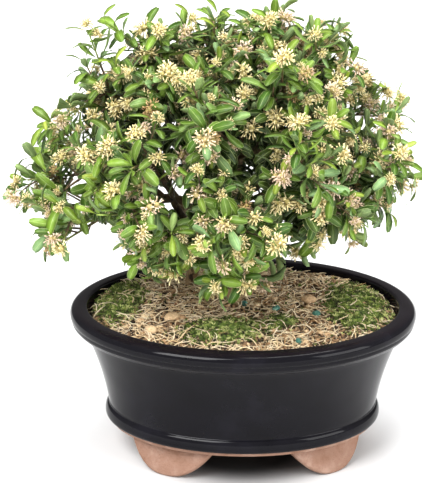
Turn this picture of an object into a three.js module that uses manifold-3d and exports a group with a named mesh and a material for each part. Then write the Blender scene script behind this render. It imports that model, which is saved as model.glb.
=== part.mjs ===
// A Harland boxwood bonsai in an oval glazed pot, in millimetres with +Z up.
// Measures count from the middle of the pot, where it stands. The finished group is then
// moved level, so that its origin lies under the middle of the tree and pot together.

import * as THREE from 'three';
import { mergeVertices } from 'three/addons/utils/BufferGeometryUtils.js';
import Module from 'manifold-3d';

// Driving dimensions.
const GAP = 0.3; // left between pieces that touch
const POT_LENGTH = 200;
const POT_DEPTH = 152;
const UNDERSIDE = 19.5; // height of the pot's underside above the floor
const POT_FLOOR = 27.3; // top of the slab inside
const SIDES_ROUND = 28; // facets round the pot and the soil
const SOIL_RIM = 84.5; // soil level at the wall
const SOIL_RISE = 6; // how much higher it is in the middle
const DRAIN_X = 34; // each drainage hole, from the middle
const DRAIN_RADIUS = 6;
const CROWN = { x: -13, y: 8, z: 168, long: 104, deep: 90, up: 87, down: 40, power: 2.1, lean: 10 };
const CROWN_SPRAYS = 38;
const BLADE = { length: 25, width: 10.4, thick: 1.5, arch: 2.2 };
const BLOOM_RADIUS = 6;

const wasm = await Module();
wasm.setup();

// A repeatable draw between 0 and 1 for one item of one piece.
function draw(piece, item) {
  const wave = Math.sin(piece * 12.9898 + item * 78.233) * 43758.5453;
  return wave - Math.floor(wave);
}

// The closed solid of a geometry, without its flat scraps.
function solid(geometry) {
  geometry.deleteAttribute('normal');
  geometry.deleteAttribute('uv');
  const merged = mergeVertices(geometry, 1e-4);
  const corners = [];
  const index = merged.index.array;
  for (let i = 0; i < index.length; i += 3) {
    const [a, b, c] = [index[i], index[i + 1], index[i + 2]];
    if (a !== b && b !== c && c !== a) corners.push(a, b, c);
  }
  const vertProperties = new Float32Array(merged.attributes.position.array);
  const triVerts = new Uint32Array(corners);
  return new wasm.Manifold(new wasm.Mesh({ numProp: 3, vertProperties, triVerts }));
}

// Moves every point of a geometry to where place(point) puts it.
function reshape(geometry, place) {
  const position = geometry.attributes.position;
  const point = new THREE.Vector3();
  for (let i = 0; i < position.count; i++) {
    point.fromBufferAttribute(position, i);
    place(point);
    position.setXYZ(i, point.x, point.y, point.z);
  }
  return geometry;
}

// A closed limb along a curve, a step every so often, with swell added all round it.
function limb(curve, radiusAt, sides, steps, swell = 0) {
  const frames = curve.computeFrenetFrames(steps);
  const geometry = new THREE.CylinderGeometry(1, 1, 1, sides, steps);
  return solid(reshape(geometry, (point) => {
    const along = point.y + 0.5;
    const step = Math.round(along * steps);
    const turn = Math.atan2(point.z, point.x);
    const reach = Math.hypot(point.x, point.z) * (radiusAt(along, turn) + swell);
    const end = step === 0 ? -swell : step === steps ? swell : 0;
    point.copy(curve.getPointAt(along));
    point.addScaledVector(frames.normals[step], reach * Math.cos(turn));
    point.addScaledVector(frames.binormals[step], -reach * Math.sin(turn));
    point.addScaledVector(frames.tangents[step], end);
  }));
}

const taper = (thick, thin) => (along) => thick + (thin - thick) * along;

// The largest of the bodies that a join left, without scraps or sealed hollows.
function wholeBody(joined) {
  const bodies = joined.simplify(0.05).decompose();
  return bodies.reduce((best, body) => (body.volume() > best.volume() ? body : best));
}

function mesh(name, body, colour, roughness, metalness = 0) {
  const { vertProperties, triVerts } = body.getMesh();
  const geometry = new THREE.BufferGeometry();
  geometry.setAttribute('position', new THREE.BufferAttribute(vertProperties, 3));
  geometry.setIndex(new THREE.BufferAttribute(triVerts, 1));
  const material = new THREE.MeshStandardMaterial({ color: colour, roughness, metalness });
  const made = new THREE.Mesh(geometry, material);
  made.name = name;
  return made;
}

// The pot's oval: half its depth for half its length, with the same flare all round.
const OVAL_OFFSET = (POT_LENGTH - POT_DEPTH) / 2;
const OVAL_CORE = 60;
function halfDepth(halfLength) {
  if (halfLength > OVAL_CORE) return halfLength - OVAL_OFFSET;
  return halfLength * (OVAL_CORE - OVAL_OFFSET) / OVAL_CORE;
}

// Turns an outline of half lengths and heights into an oval body.
function oval(outline) {
  const geometry = new THREE.LatheGeometry(outline, SIDES_ROUND);
  geometry.rotateX(Math.PI / 2);
  return reshape(geometry, (point) => {
    const halfLength = Math.hypot(point.x, point.y);
    if (halfLength > 1e-6) point.y *= halfDepth(halfLength) / halfLength;
  });
}

// The inside of the wall, from the lip down, as half lengths and heights.
const INSIDE_WALL = [[86.4, 77.4], [78, 52.5], [72.2, 33]];
const FLOOR_LENGTH = 67.2; // half the length of the slab inside

// The fired clay: slab, glazed belt, flaring wall, lip and inside.
function potOutline() {
  const outline = new THREE.Path();
  outline.moveTo(0, UNDERSIDE);
  outline.lineTo(77.6, UNDERSIDE);
  outline.lineTo(78.8, 22.3);
  outline.quadraticCurveTo(80.9, 22.4, 80.8, 25.4);
  outline.quadraticCurveTo(80.6, 29.2, 78.8, 30.2);
  outline.lineTo(79, 31.4);
  outline.quadraticCurveTo(81.4, 52, 91.6, 76.6);
  outline.lineTo(96.4, 78.6);
  outline.lineTo(99.6, 83);
  outline.lineTo(POT_LENGTH / 2, 86.6);
  outline.quadraticCurveTo(POT_LENGTH / 2, 90.4, 95.5, 91.3);
  outline.quadraticCurveTo(91.2, 91.6, 89.8, 88.6);
  for (const [halfLength, height] of INSIDE_WALL) outline.lineTo(halfLength, height);
  outline.lineTo(FLOOR_LENGTH, POT_FLOOR);
  outline.lineTo(0, POT_FLOOR);
  return outline.getPoints(2);
}

// One lobe of a foot, bent along the edge of the slab at an angle round the oval. Its
// outline rises from the floor as a power of the way to its end, and it splays outwards.
const FOOT = { half: 28, steps: 8, power: 2.3, sunk: 0.35, inside: 58.2, thick: 15, bevel: 2.2 };
const FOOT_SPLAY = 2;
const FOOT_EDGE = 64; // length along the slab for each radian
function foot(angle) {
  const lobe = new THREE.Shape();
  lobe.moveTo(FOOT.half, UNDERSIDE + 2 * FOOT.bevel);
  lobe.lineTo(-FOOT.half, UNDERSIDE + 2 * FOOT.bevel);
  for (let step = 0; step <= FOOT.steps; step++) {
    const across = 2 * step / FOOT.steps - 1;
    const height = UNDERSIDE * Math.abs(across) ** FOOT.power;
    lobe.lineTo(FOOT.half * across, height - FOOT.sunk);
  }
  const geometry = new THREE.ExtrudeGeometry(lobe, {
    depth: FOOT.thick - 2 * FOOT.bevel,
    bevelThickness: FOOT.bevel,
    bevelSize: FOOT.bevel,
    bevelOffset: -FOOT.bevel,
    bevelSegments: 1,
  });
  return solid(reshape(geometry, (point) => {
    const turn = angle + point.x / FOOT_EDGE;
    const height = point.y;
    const halfLength = FOOT.inside + FOOT.bevel + point.z + FOOT_SPLAY * (1 - height / UNDERSIDE);
    point.set(halfLength * Math.cos(turn), halfDepth(halfLength) * Math.sin(turn), height);
  }));
}

// Angles of the four feet round the oval. They were set on by hand, a little turned.
const FOOT_ANGLES = [53, 137, 233, 317];

function pot() {
  let body = solid(oval(potOutline()));
  for (const angle of FOOT_ANGLES) body = body.add(foot(THREE.MathUtils.degToRad(angle)));
  for (const side of [-1, 1]) {
    const drain = new THREE.CylinderGeometry(DRAIN_RADIUS, DRAIN_RADIUS, 30, 8);
    drain.rotateX(Math.PI / 2).translate(side * DRAIN_X, 0, UNDERSIDE);
    body = body.subtract(solid(drain));
  }
  return wholeBody(body.trimByPlane([0, 0, 1], 0));
}

// A square of plastic mesh over a drainage hole.
const SCREEN = { size: 24, thick: 1.2, hole: 8, pitch: 10.5 };
function screen(side) {
  const block = (width, height) => new THREE.BoxGeometry(width, width, height);
  let plate = solid(block(SCREEN.size, SCREEN.thick));
  for (const column of [-0.5, 0.5]) {
    for (const row of [-0.5, 0.5]) {
      const opening = block(SCREEN.hole, 2 * SCREEN.thick);
      plate = plate.subtract(solid(opening.translate(column * SCREEN.pitch, row * SCREEN.pitch, 0)));
    }
  }
  return plate.translate([side * DRAIN_X, 0, POT_FLOOR + GAP + SCREEN.thick / 2]);
}

// Cushions of moss, as centre and half widths on the soil.
const CUSHIONS = [
  { x: -10, y: -37, long: 24, deep: 15 },
  { x: 66, y: 1, long: 18, deep: 34 },
  { x: -72, y: 10, long: 15, deep: 32 },
  { x: 22, y: -26, long: 10, deep: 8 },
];
const CUSHION_RISE = 2.6;

function soilTop(x, y) {
  const [halfLength, halfWidth] = [88, halfDepth(88)];
  const out = Math.min(1, (x / halfLength) ** 2 + (y / halfWidth) ** 2);
  let height = SOIL_RIM + SOIL_RISE * (1 - out);
  for (const cushion of CUSHIONS) {
    const off = ((x - cushion.x) / cushion.long) ** 2 + ((y - cushion.y) / cushion.deep) ** 2;
    height += CUSHION_RISE * Math.exp(-off * off);
  }
  return height;
}

// The soil, with its relief, before the holes that the wood stands in.
function soilBody() {
  const inset = GAP + 0.1;
  const ring = (halfLength, height) => new THREE.Vector2(halfLength, height);
  const outline = [ring(0, POT_FLOOR + inset), ring(FLOOR_LENGTH - 4, POT_FLOOR + inset)];
  for (const [halfLength, height] of INSIDE_WALL.toReversed()) {
    outline.push(ring(halfLength - inset, height));
  }
  for (const halfLength of [87.6, 68, 46, 22, 0]) outline.push(ring(halfLength, SOIL_RIM));
  return solid(reshape(oval(outline), (point) => {
    if (point.z > SOIL_RIM - 1) point.z = soilTop(point.x, point.y);
  }));
}

function soil(woodInSoil) {
  let body = soilBody();
  for (const side of [-1, 1]) {
    const size = SCREEN.size + 2 * GAP;
    const height = 2 * (SCREEN.thick + 3 * GAP);
    const pocket = new THREE.BoxGeometry(size, size, height);
    body = body.subtract(solid(pocket.translate(side * DRAIN_X, 0, POT_FLOOR)));
  }
  for (const root of woodInSoil) body = body.subtract(root);
  return wholeBody(body);
}

const at = (x, y, z) => new THREE.Vector3(x, y, z);
const bend = (...points) => new THREE.CubicBezierCurve3(...points);

// The wood: one trunk that runs up into the leader, and a second stem from the same root.
const FOOT_OF_TRUNK = at(-7, 12, 60);
const TRUNK = bend(FOOT_OF_TRUNK, at(-4, 10, 120), at(-22, 10, 140), at(-11, 9, 216));
const SECOND_STEM = bend(at(-31, 31, 84), at(-33, 29, 104), at(-18, 16, 118), at(-34, 10, 152));
const ROOTS = [
  { turn: 143, long: 32 },
  { turn: 222, long: 22 },
  { turn: 290, long: 19 },
  { turn: 10, long: 24 },
];

function trunkRadius(along, turn) {
  const flare = 3.2 * Math.exp(-(((along - 0.2) / 0.09) ** 2));
  const flute = 1 + 0.1 * Math.cos(3 * turn + 5 * along);
  return (7.2 - 5.6 * along ** 0.8 + flare) * flute;
}

function rootCurve(root) {
  const turn = THREE.MathUtils.degToRad(root.turn);
  const point = (out, lift) => {
    const x = FOOT_OF_TRUNK.x + out * Math.cos(turn);
    const y = FOOT_OF_TRUNK.y + out * Math.sin(turn);
    return at(x, y, soilTop(x, y) + lift);
  };
  return bend(point(1, 7), point(0.45 * root.long, 1.5), point(0.8 * root.long, 0), point(root.long, -6));
}

// Direction in the crown from a bearing and a rise, in degrees.
function heading(bearing, rise) {
  const [b, r] = [THREE.MathUtils.degToRad(bearing), THREE.MathUtils.degToRad(rise)];
  return at(Math.cos(b) * Math.cos(r), Math.sin(b) * Math.cos(r), Math.sin(r));
}

// How far the crown reaches from its middle in a direction.
const CROWN_MIDDLE = at(CROWN.x, CROWN.y, CROWN.z);
function crownReach(direction) {
  const upright = direction.z > 0 ? CROWN.up : CROWN.down;
  const sum = Math.abs(direction.x / CROWN.long) ** CROWN.power
    + Math.abs(direction.y / CROWN.deep) ** CROWN.power
    + Math.abs(direction.z / upright) ** CROWN.power;
  return sum ** (-1 / CROWN.power);
}

// Boughs: where each leaves its stem, as a share of that stem's curve, and where it heads.
const BOUGHS = [
  { stem: TRUNK, from: 0.36, bearing: 338, rise: 0 },
  { stem: TRUNK, from: 0.42, bearing: 32, rise: 6 },
  { stem: TRUNK, from: 0.39, bearing: 88, rise: 0 },
  { stem: SECOND_STEM, from: 0.8, bearing: 146, rise: 4 },
  { stem: SECOND_STEM, from: 0.97, bearing: 196, rise: 2 },
  { stem: TRUNK, from: 0.34, bearing: 236, rise: -4 },
  { stem: TRUNK, from: 0.45, bearing: 285, rise: 4 },
  { stem: TRUNK, from: 0.56, bearing: 55, rise: 44 },
  { stem: TRUNK, from: 0.6, bearing: 175, rise: 46 },
  { stem: TRUNK, from: 0.52, bearing: 290, rise: 42 },
];
const BOUGH_SHARE = 0.5; // of the crown's reach

function boughCurve(bough) {
  const start = bough.stem.getPoint(bough.from);
  const direction = heading(bough.bearing, bough.rise);
  const end = CROWN_MIDDLE.clone().addScaledVector(direction, BOUGH_SHARE * crownReach(direction));
  const low = start.clone().lerp(end, 0.35).add(at(0, 0, -4));
  const high = start.clone().lerp(end, 0.75).add(at(0, 0, -3));
  return bend(start, low, high, end);
}
const LIMBS = [
  { curve: TRUNK, heading: at(0, 0, 1), step: 0.045 },
  ...BOUGHS.map((bough) => ({
    curve: boughCurve(bough),
    heading: heading(bough.bearing, bough.rise),
    step: 0.11,
  })),
];

function rootLimbs(swell) {
  return [
    limb(TRUNK, trunkRadius, 8, 9, swell),
    limb(SECOND_STEM, taper(3.6, 2.4), 5, 4, swell),
    ...ROOTS.map((root) => limb(rootCurve(root), taper(3.8, 1.6), 4, 2, swell)),
  ];
}

function wood() {
  const boughs = BOUGHS.map((bough) => limb(boughCurve(bough), taper(2.9, 1.3), 4, 3));
  return wholeBody(wasm.Manifold.union([...rootLimbs(0), ...boughs]));
}

// Sprays that stand out of the crown or hang below it, by where their twig ends.
const STRAYS = [
  at(-105, -20, 133),
  at(-121, -8, 168),
  at(-108, -34, 152),
  at(-54, -34, 137),
  at(-4, -40, 124),
  at(51, 2, 250),
  at(86, -14, 182),
  at(20, 10, 253),
];
const GOLDEN = Math.PI * (3 - Math.sqrt(5));
const TIP_INSET = 10; // the leaves reach this far past the twig's end
const FIRST_TURN = 5.85; // radians
const HIGHEST = 0.985;
const LOWEST = -0.34;

function sprayTip(index) {
  if (index >= CROWN_SPRAYS) return STRAYS[index - CROWN_SPRAYS].clone();
  const up = HIGHEST - (HIGHEST - LOWEST) * (index + 0.5) / CROWN_SPRAYS;
  const turn = FIRST_TURN + index * GOLDEN + 0.5 * (draw(index, 1) - 0.5);
  const flat = Math.sqrt(1 - up * up);
  const direction = at(flat * Math.cos(turn), flat * Math.sin(turn), up);
  const reach = crownReach(direction) * (0.96 + 0.1 * draw(index, 2)) - TIP_INSET;
  return CROWN_MIDDLE.clone().addScaledVector(direction, reach).add(at(CROWN.lean * up, 0, 0));
}

// The limb that bears each spray is the one that heads most nearly its way.
const TIPS = Array.from({ length: CROWN_SPRAYS + STRAYS.length }, (_, index) => sprayTip(index));
const BEARERS = TIPS.map((tip) => {
  const outward = tip.clone().sub(CROWN_MIDDLE).normalize();
  const match = (candidate) => candidate.heading.dot(outward);
  const limbHere = LIMBS.reduce((best, other) => (match(other) > match(best) ? other : best));
  return { limbHere, outward, match: match(limbHere) };
});

// The twigs of a spray: the main one from its limb to its tip, then two at its sides.
// The sprays that turn furthest from their limb leave it lowest. A later attempt starts
// the main twig a little elsewhere and turns the side twigs.
const SIDE_TWIGS = 2;
function sprayTwigs(index, attempt) {
  const luck = (item) => draw(index, item + 0.37 * attempt);
  const tip = TIPS[index];
  const { limbHere, outward, match } = BEARERS[index];
  const rank = BEARERS.filter((other) => other.limbHere === limbHere && other.match > match).length;
  const from = 1 - limbHere.step * (rank + 0.1 * attempt * luck(3));
  const base = limbHere.curve.getPoint(from);
  const main = new THREE.LineCurve3(base, tip);
  const ahead = tip.clone().sub(base).normalize();
  const level = at(0, 0, 1).cross(ahead).normalize();
  const upright = level.clone().cross(ahead);
  const twigs = [main];
  for (let side = 0; side < SIDE_TWIGS; side++) {
    const along = 0.46 + 0.24 * side + 0.06 * luck(10 + side);
    const start = main.getPoint(along);
    const turn = 2 * Math.PI * luck(20) + Math.PI * side + luck(30 + side);
    const aside = level.clone().multiplyScalar(Math.cos(turn));
    aside.addScaledVector(upright, Math.sin(turn));
    const long = 19 + 6 * luck(40 + side);
    const end = start.clone().addScaledVector(ahead, 0.66 * long).addScaledVector(aside, 0.75 * long);
    twigs.push(new THREE.LineCurve3(start, end));
  }
  return twigs;
}

// One leaf: a thin arched blade with a blunt end, along +X from a stalk end sunk in the twig.
const STALK = { along: 0, half: 0, lift: 0 };
const WIDEST = { along: 0.56, half: 0.5, lift: 1 };
const BLUNT_END = { along: 0.96, half: 0.3, lift: 0.2 };
function leafBlade() {
  return solid(reshape(new THREE.SphereGeometry(1, 5, 2), (point) => {
    const { x: forward, y: upward, z: across } = point;
    if (Math.abs(upward) > 0.5) {
      point.set(0.5 * BLADE.length, 0, 0.8 * BLADE.arch + upward * BLADE.thick / 2);
      return;
    }
    const outer = forward > 0 ? BLUNT_END : WIDEST;
    const station = forward < -0.9 ? STALK : outer;
    point.x = station.along * BLADE.length;
    point.y = -Math.sign(across) * station.half * BLADE.width;
    point.z = station.lift * BLADE.arch;
  }));
}

// One flower head: a tuft of stamens, as a star with eight points, one of them along +X.
function bloomTuft() {
  const corner = at(1, 1, 1).normalize();
  const turn = new THREE.Quaternion().setFromUnitVectors(corner, at(1, 0, 0));
  const half = new THREE.TetrahedronGeometry(BLOOM_RADIUS);
  const otherHalf = half.clone().rotateZ(Math.PI / 2);
  return solid(half.applyQuaternion(turn)).add(solid(otherHalf.applyQuaternion(turn)));
}
const LEAF = leafBlade();
const BLOOM = bloomTuft();

// Places a solid with its length along one direction and its top towards another.
function placed(body, where, along, top, size) {
  const across = top.clone().cross(along).normalize();
  const face = along.clone().cross(across).normalize();
  const matrix = new THREE.Matrix4().makeBasis(along, across, face);
  matrix.scale(at(size, size, size)).setPosition(where);
  return body.transform(matrix.elements);
}

// Every solid that leaves have to stay clear of, with the piece that it belongs to.
const standing = [];
function stand(body, owner, isWood = false) {
  standing.push({ body, owner, isWood, box: body.boundingBox() });
}
const ROOTS_CROSS = 0.5; // mm3 that two leaves of one spray may share where they are rooted
function isClear(body, owner) {
  const box = body.boundingBox();
  return standing.every((other) => {
    const apart = [0, 1, 2].some((axis) => (
      box.min[axis] > other.box.max[axis] + GAP || box.max[axis] < other.box.min[axis] - GAP
    ));
    if (apart) return true;
    if (other.owner !== owner) return body.minGap(other.body, 2 * GAP) >= GAP;
    return other.isWood || body.intersect(other.body).volume() < ROOTS_CROSS;
  });
}

// The leaf at a point of a twig, turned and made smaller until it is clear.
const LEAF_TRIES = 9;
const LEAF_SPREAD = 1; // radians from the twig's own direction
function grownLeaf(spray, where, ahead, turn, size) {
  const side = at(0, 0, 1).cross(ahead).normalize();
  const back = side.clone().cross(ahead);
  for (let attempt = 0; attempt < LEAF_TRIES; attempt++) {
    const swing = turn + 0.35 * Math.ceil(attempt / 2) * (attempt % 2 ? 1 : -1);
    const aside = side.clone().multiplyScalar(Math.cos(swing));
    aside.addScaledVector(back, Math.sin(swing));
    const along = ahead.clone().multiplyScalar(Math.cos(LEAF_SPREAD));
    along.addScaledVector(aside, Math.sin(LEAF_SPREAD));
    const leaf = placed(LEAF, where, along, ahead, size * (1 - 0.03 * attempt));
    if (isClear(leaf, spray)) return [leaf];
  }
  return [];
}

// The wood of a spray. It starts where it is just clear of the limb that bears it.
function twigWood([main, ...sides], woodBody) {
  let [share, stem] = [0, null];
  do {
    share += 0.02;
    const clearPart = new THREE.LineCurve3(main.getPoint(share), main.v2);
    stem = limb(clearPart, taper(1.5, 1.1), 3, 1);
  } while (share < 0.4 && stem.minGap(woodBody, 2 * GAP) < GAP);
  return wasm.Manifold.union([stem, ...sides.map((side) => limb(side, taper(0.6, 1), 3, 1))]);
}

// The first attempt at a spray's twigs that is clear of all that stands.
const TWIG_TRIES = 40;
function clearTwigs(index, woodBody) {
  for (let attempt = 0; attempt < TWIG_TRIES; attempt++) {
    const twigs = sprayTwigs(index, attempt);
    const wood = twigWood(twigs, woodBody);
    if (isClear(wood, index)) return { twigs, wood };
  }
  throw new Error(`spray ${index} finds no room`);
}

// Where leaf pairs stand on the main twig and on the side twigs, as shares of their length.
const MAIN_PAIRS = [0.62, 0.88];
const SIDE_PAIRS = [0.72];
const PAIR_STAGGER = 0.02; // between the two leaves of a pair
const BLOOM_STANDS = 0.3; // share of its radius that a flower head stands off its twig's end
const SECOND_BLOOM_EVERY = 3; // sprays

function leafySpray(index, twigs, twigBody) {
  const parts = [twigBody];
  const keep = (body) => {
    parts.push(body);
    stand(body, index);
  };
  twigs.forEach((twig, order) => {
    const ahead = twig.getTangent(1);
    const shares = order === 0 ? MAIN_PAIRS : SIDE_PAIRS;
    shares.forEach((share, level) => {
      const size = 0.86 + 0.28 * draw(index, 60 + 10 * order + level);
      for (const half of [0, 1]) {
        const where = twig.getPoint(share + half * PAIR_STAGGER);
        const turn = Math.PI * (draw(index, 50 + order) + 0.5 * level + half);
        grownLeaf(index, where, ahead, turn, size).forEach(keep);
      }
    });
    if (order === 0 || (order === 1 && index % SECOND_BLOOM_EVERY === 0)) {
      const where = twig.getPoint(1).addScaledVector(ahead, BLOOM_STANDS * BLOOM_RADIUS);
      const bloom = placed(BLOOM, where, ahead, at(0.3, 0.2, 1), 1);
      if (isClear(bloom, index)) keep(bloom);
    }
  });
  return wholeBody(wasm.Manifold.union(parts));
}

// Loose pieces on the soil, by where they lie, lifted until they are just clear of it.
const PELLETS = [[1, -3], [19, -9], [42, -13], [31, -47]];
const CHIPS = [[-51, -34], [-40, -20], [38, 6]];
function loosePiece(radius, [x, y], flat, turn) {
  const geometry = new THREE.IcosahedronGeometry(radius, 0).rotateZ(turn).scale(1, 0.75, flat);
  geometry.translate(x, y, soilTop(x, y) + flat * radius + 1);
  const position = geometry.attributes.position;
  let drop = Infinity;
  for (let i = 0; i < position.count; i++) {
    drop = Math.min(drop, position.getZ(i) - soilTop(position.getX(i), position.getY(i)));
  }
  return solid(geometry.translate(0, 0, GAP + 0.2 - drop));
}

const GLAZE = 0x26232c;
const SOIL_BROWN = 0x6b5335;
const BARK = 0x8a7350;
const LEAF_GREEN = 0x4c8238;
const MESH_GREY = 0x2f3230;
const PELLET_TEAL = 0x3c9080;
const CHIP_TAN = 0xb59468;

const tree = new THREE.Group();
const woodBody = wood();
const potBody = pot();
const soilSolid = soil(rootLimbs(GAP + 0.15));
stand(woodBody, 'wood');
stand(soilSolid, 'soil');
stand(potBody, 'pot');

tree.add(mesh('pot', potBody, GLAZE, 0.12));
tree.add(mesh('drain_screen_left', screen(-1), MESH_GREY, 0.6));
tree.add(mesh('drain_screen_right', screen(1), MESH_GREY, 0.6));
tree.add(mesh('soil', soilSolid, SOIL_BROWN, 0.95));
tree.add(mesh('trunk_and_boughs', woodBody, BARK, 0.8));
PELLETS.forEach((place, i) => {
  tree.add(mesh(`fertiliser_pellet_${i + 1}`, loosePiece(2.6, place, 0.7, i), PELLET_TEAL, 0.6));
});
CHIPS.forEach((place, i) => {
  tree.add(mesh(`bark_chip_${i + 1}`, loosePiece(5.5, place, 0.4, 2 * i), CHIP_TAN, 0.9));
});

const sprays = TIPS.map((_, index) => {
  const spray = clearTwigs(index, woodBody);
  stand(spray.wood, index, true);
  return spray;
});
sprays.forEach(({ twigs, wood: twigBody }, index) => {
  const name = `leafy_spray_${String(index + 1).padStart(2, '0')}`;
  tree.add(mesh(name, leafySpray(index, twigs, twigBody), LEAF_GREEN, 0.45));
});

// Moves the group level so that its box is centred on the origin.
const box = new THREE.Box3().setFromObject(tree);
tree.position.set(-(box.min.x + box.max.x) / 2, -(box.min.y + box.max.y) / 2, 0);

export default tree;
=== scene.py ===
"""Dresses the solids of a boxwood bonsai in an oval glazed pot.

Plans are in millimetres from the middle of the pot, as in the source of the solids. They
become metres in the frame of the solids when a mesh is made.
"""

import math

import bmesh
import bpy
import numpy as np
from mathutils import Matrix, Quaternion, Vector, noise
from mathutils.kdtree import KDTree


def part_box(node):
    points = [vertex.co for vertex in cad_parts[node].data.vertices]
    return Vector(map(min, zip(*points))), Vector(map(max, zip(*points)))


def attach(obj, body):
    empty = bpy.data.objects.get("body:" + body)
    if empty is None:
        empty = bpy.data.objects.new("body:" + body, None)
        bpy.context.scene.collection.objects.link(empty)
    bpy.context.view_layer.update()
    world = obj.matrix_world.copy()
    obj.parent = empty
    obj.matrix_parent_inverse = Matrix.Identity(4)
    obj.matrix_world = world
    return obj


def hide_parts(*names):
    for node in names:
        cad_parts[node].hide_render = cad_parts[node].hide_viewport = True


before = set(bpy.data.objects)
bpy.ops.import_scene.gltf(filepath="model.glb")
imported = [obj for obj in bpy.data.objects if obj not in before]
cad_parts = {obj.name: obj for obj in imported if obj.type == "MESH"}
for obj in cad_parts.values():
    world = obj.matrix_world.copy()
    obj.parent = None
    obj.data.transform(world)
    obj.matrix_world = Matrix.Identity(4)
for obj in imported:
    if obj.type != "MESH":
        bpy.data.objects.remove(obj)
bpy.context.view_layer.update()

# Vector noise takes its seed from the clock unless it is given one.
noise.seed_set(1)

MM = 0.001
POT_LOW, POT_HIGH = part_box("pot")
POT_MIDDLE = Vector(((POT_LOW.x + POT_HIGH.x) / 2, (POT_LOW.y + POT_HIGH.y) / 2, 0))
GOLDEN = math.pi * (3 - math.sqrt(5))


# Shared sizes of the pot, the soil and the crown, as in the solids.

POT_LENGTH = 200
OVAL_OFFSET = 24
OVAL_CORE = 60
UNDERSIDE = 19.5
POT_FLOOR = 27.3
INSIDE_WALL = [(86.4, 77.4), (78, 52.5), (72.2, 33)]
FLOOR_LENGTH = 67.2
FOOT = {"half": 28, "power": 2.3, "inside": 58.2, "thick": 15, "bevel": 2.2, "splay": 2, "edge": 64,
        "sunk": 0.35}
FOOT_ANGLES = [53, 137, 233, 317]
DRAIN_X = 34
DRAIN_RADIUS = 6
SOIL_RIM = 84.5
SOIL_RISE = 6
CUSHIONS = [(-10, -37, 24, 15), (66, 1, 18, 34), (-72, 10, 15, 32), (22, -26, 10, 8)]
CUSHION_RISE = 2.6
CROWN = {"long": 104, "deep": 90, "up": 87, "down": 40, "power": 2.1, "lean": 10}
CROWN_MIDDLE = Vector((-13, 8, 168))
CROWN_SPRAYS = 38
TIP_INSET = 10
FIRST_TURN = 5.85
HIGHEST = 0.985
LOWEST = -0.34
STRAYS = [
    (-105, -20, 133),
    (-121, -8, 168),
    (-108, -34, 152),
    (-54, -34, 137),
    (-4, -40, 124),
    (51, 2, 250),
    (86, -14, 182),
    (20, 10, 253),
]


def draw(piece, item):
    """A repeatable draw between 0 and 1 for one item of one piece."""
    wave = math.sin(piece * 12.9898 + item * 78.233) * 43758.5453
    return wave - math.floor(wave)


# Meshes.


class Shape:
    """Points and faces gathered from several forms, with values kept for each point."""

    def __init__(self):
        self.points = []
        self.faces = []
        self.values = {}

    def add(self, points, faces, **values):
        first = len(self.points)
        self.points.extend(points)
        self.faces.extend(tuple(first + corner for corner in face) for face in faces)
        for name, value in values.items():
            kept = self.values.setdefault(name, {})
            several = isinstance(value, list)
            for offset in range(len(points)):
                kept[first + offset] = value[offset] if several else value

    def mesh(self, name, planned=True):
        """The mesh, moved from plan millimetres into the frame unless it is a pattern piece."""
        points = [Vector(p) * MM + POT_MIDDLE for p in self.points] if planned else self.points
        made = bpy.data.meshes.new(name)
        made.from_pydata(points, [], self.faces)
        for key, kept in self.values.items():
            sample = next(iter(kept.values()))
            vector = isinstance(sample, Vector)
            kind = "FLOAT_VECTOR" if vector else "INT" if isinstance(sample, int) else "FLOAT"
            attribute = made.attributes.new(key, kind, "POINT")
            empty = Vector((0, 0, 0)) if vector else type(sample)(0)
            values = [kept.get(i, empty) for i in range(len(points))]
            if vector:
                attribute.data.foreach_set("vector", np.array(values, np.float32).ravel())
            else:
                attribute.data.foreach_set("value", values)
        made.polygons.foreach_set("use_smooth", [True] * len(made.polygons))
        made.update()
        return made

    def piece(self, name):
        made = bpy.data.objects.new(name, self.mesh(name))
        bpy.context.scene.collection.objects.link(made)
        return made


def turns(sides):
    """Equal turns all the way round."""
    return [2 * math.pi * side / sides for side in range(sides)]


def bands(rings, sides, first=0, over=False):
    """Faces between rings of points that follow one another, turned over where asked."""
    faces = []
    for ring in range(rings - 1):
        for side in range(sides):
            here, there = (first + ring * sides + s % sides for s in (side, side + 1))
            if over:
                faces.append((here, here + sides, there + sides, there))
            else:
                faces.append((here, there, there + sides, here + sides))
    return faces


def caps(count, sides):
    """A face over the first ring and one over the last."""
    return [tuple(reversed(range(sides))), tuple(range(count - sides, count))]


def tube(path, radii, sides, swell=None):
    """A closed tube along a path of points."""
    points = []
    before = (path[1] - path[0]).normalized()
    normal = before.orthogonal().normalized()
    last = len(path) - 1
    for step, centre in enumerate(path):
        ahead = (path[min(step + 1, last)] - path[max(step - 1, 0)]).normalized()
        normal = before.rotation_difference(ahead) @ normal
        across = ahead.cross(normal)
        before = ahead
        for turn in turns(sides):
            reach = radii[step] * (swell(step / last, turn) if swell else 1)
            points.append(centre + reach * (math.cos(turn) * normal + math.sin(turn) * across))
    return points, bands(len(path), sides) + caps(len(points), sides)


def bend(a, b, c, d):
    """A cubic curve as a function of its share from 0 to 1."""
    a, b, c, d = Vector(a), Vector(b), Vector(c), Vector(d)

    def point(t):
        s = 1 - t
        return s**3 * a + 3 * s * s * t * b + 3 * s * t * t * c + t**3 * d

    return point


def evenly(curve, steps):
    """Points along a curve at equal lengths."""
    fine = [curve(i / 200) for i in range(201)]
    lengths = np.cumsum([0.0] + [(b - a).length for a, b in zip(fine, fine[1:])])
    wanted = np.linspace(0, lengths[-1], steps + 1)
    columns = [np.interp(wanted, lengths, [p[axis] for p in fine]) for axis in range(3)]
    return [Vector(p) for p in zip(*columns)]


def finish_piece(piece, *nodes, slot=None):
    """Makes a piece ride with the object and stand for its nodes."""
    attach(piece, "root")
    if nodes:
        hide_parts(*nodes)


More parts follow.
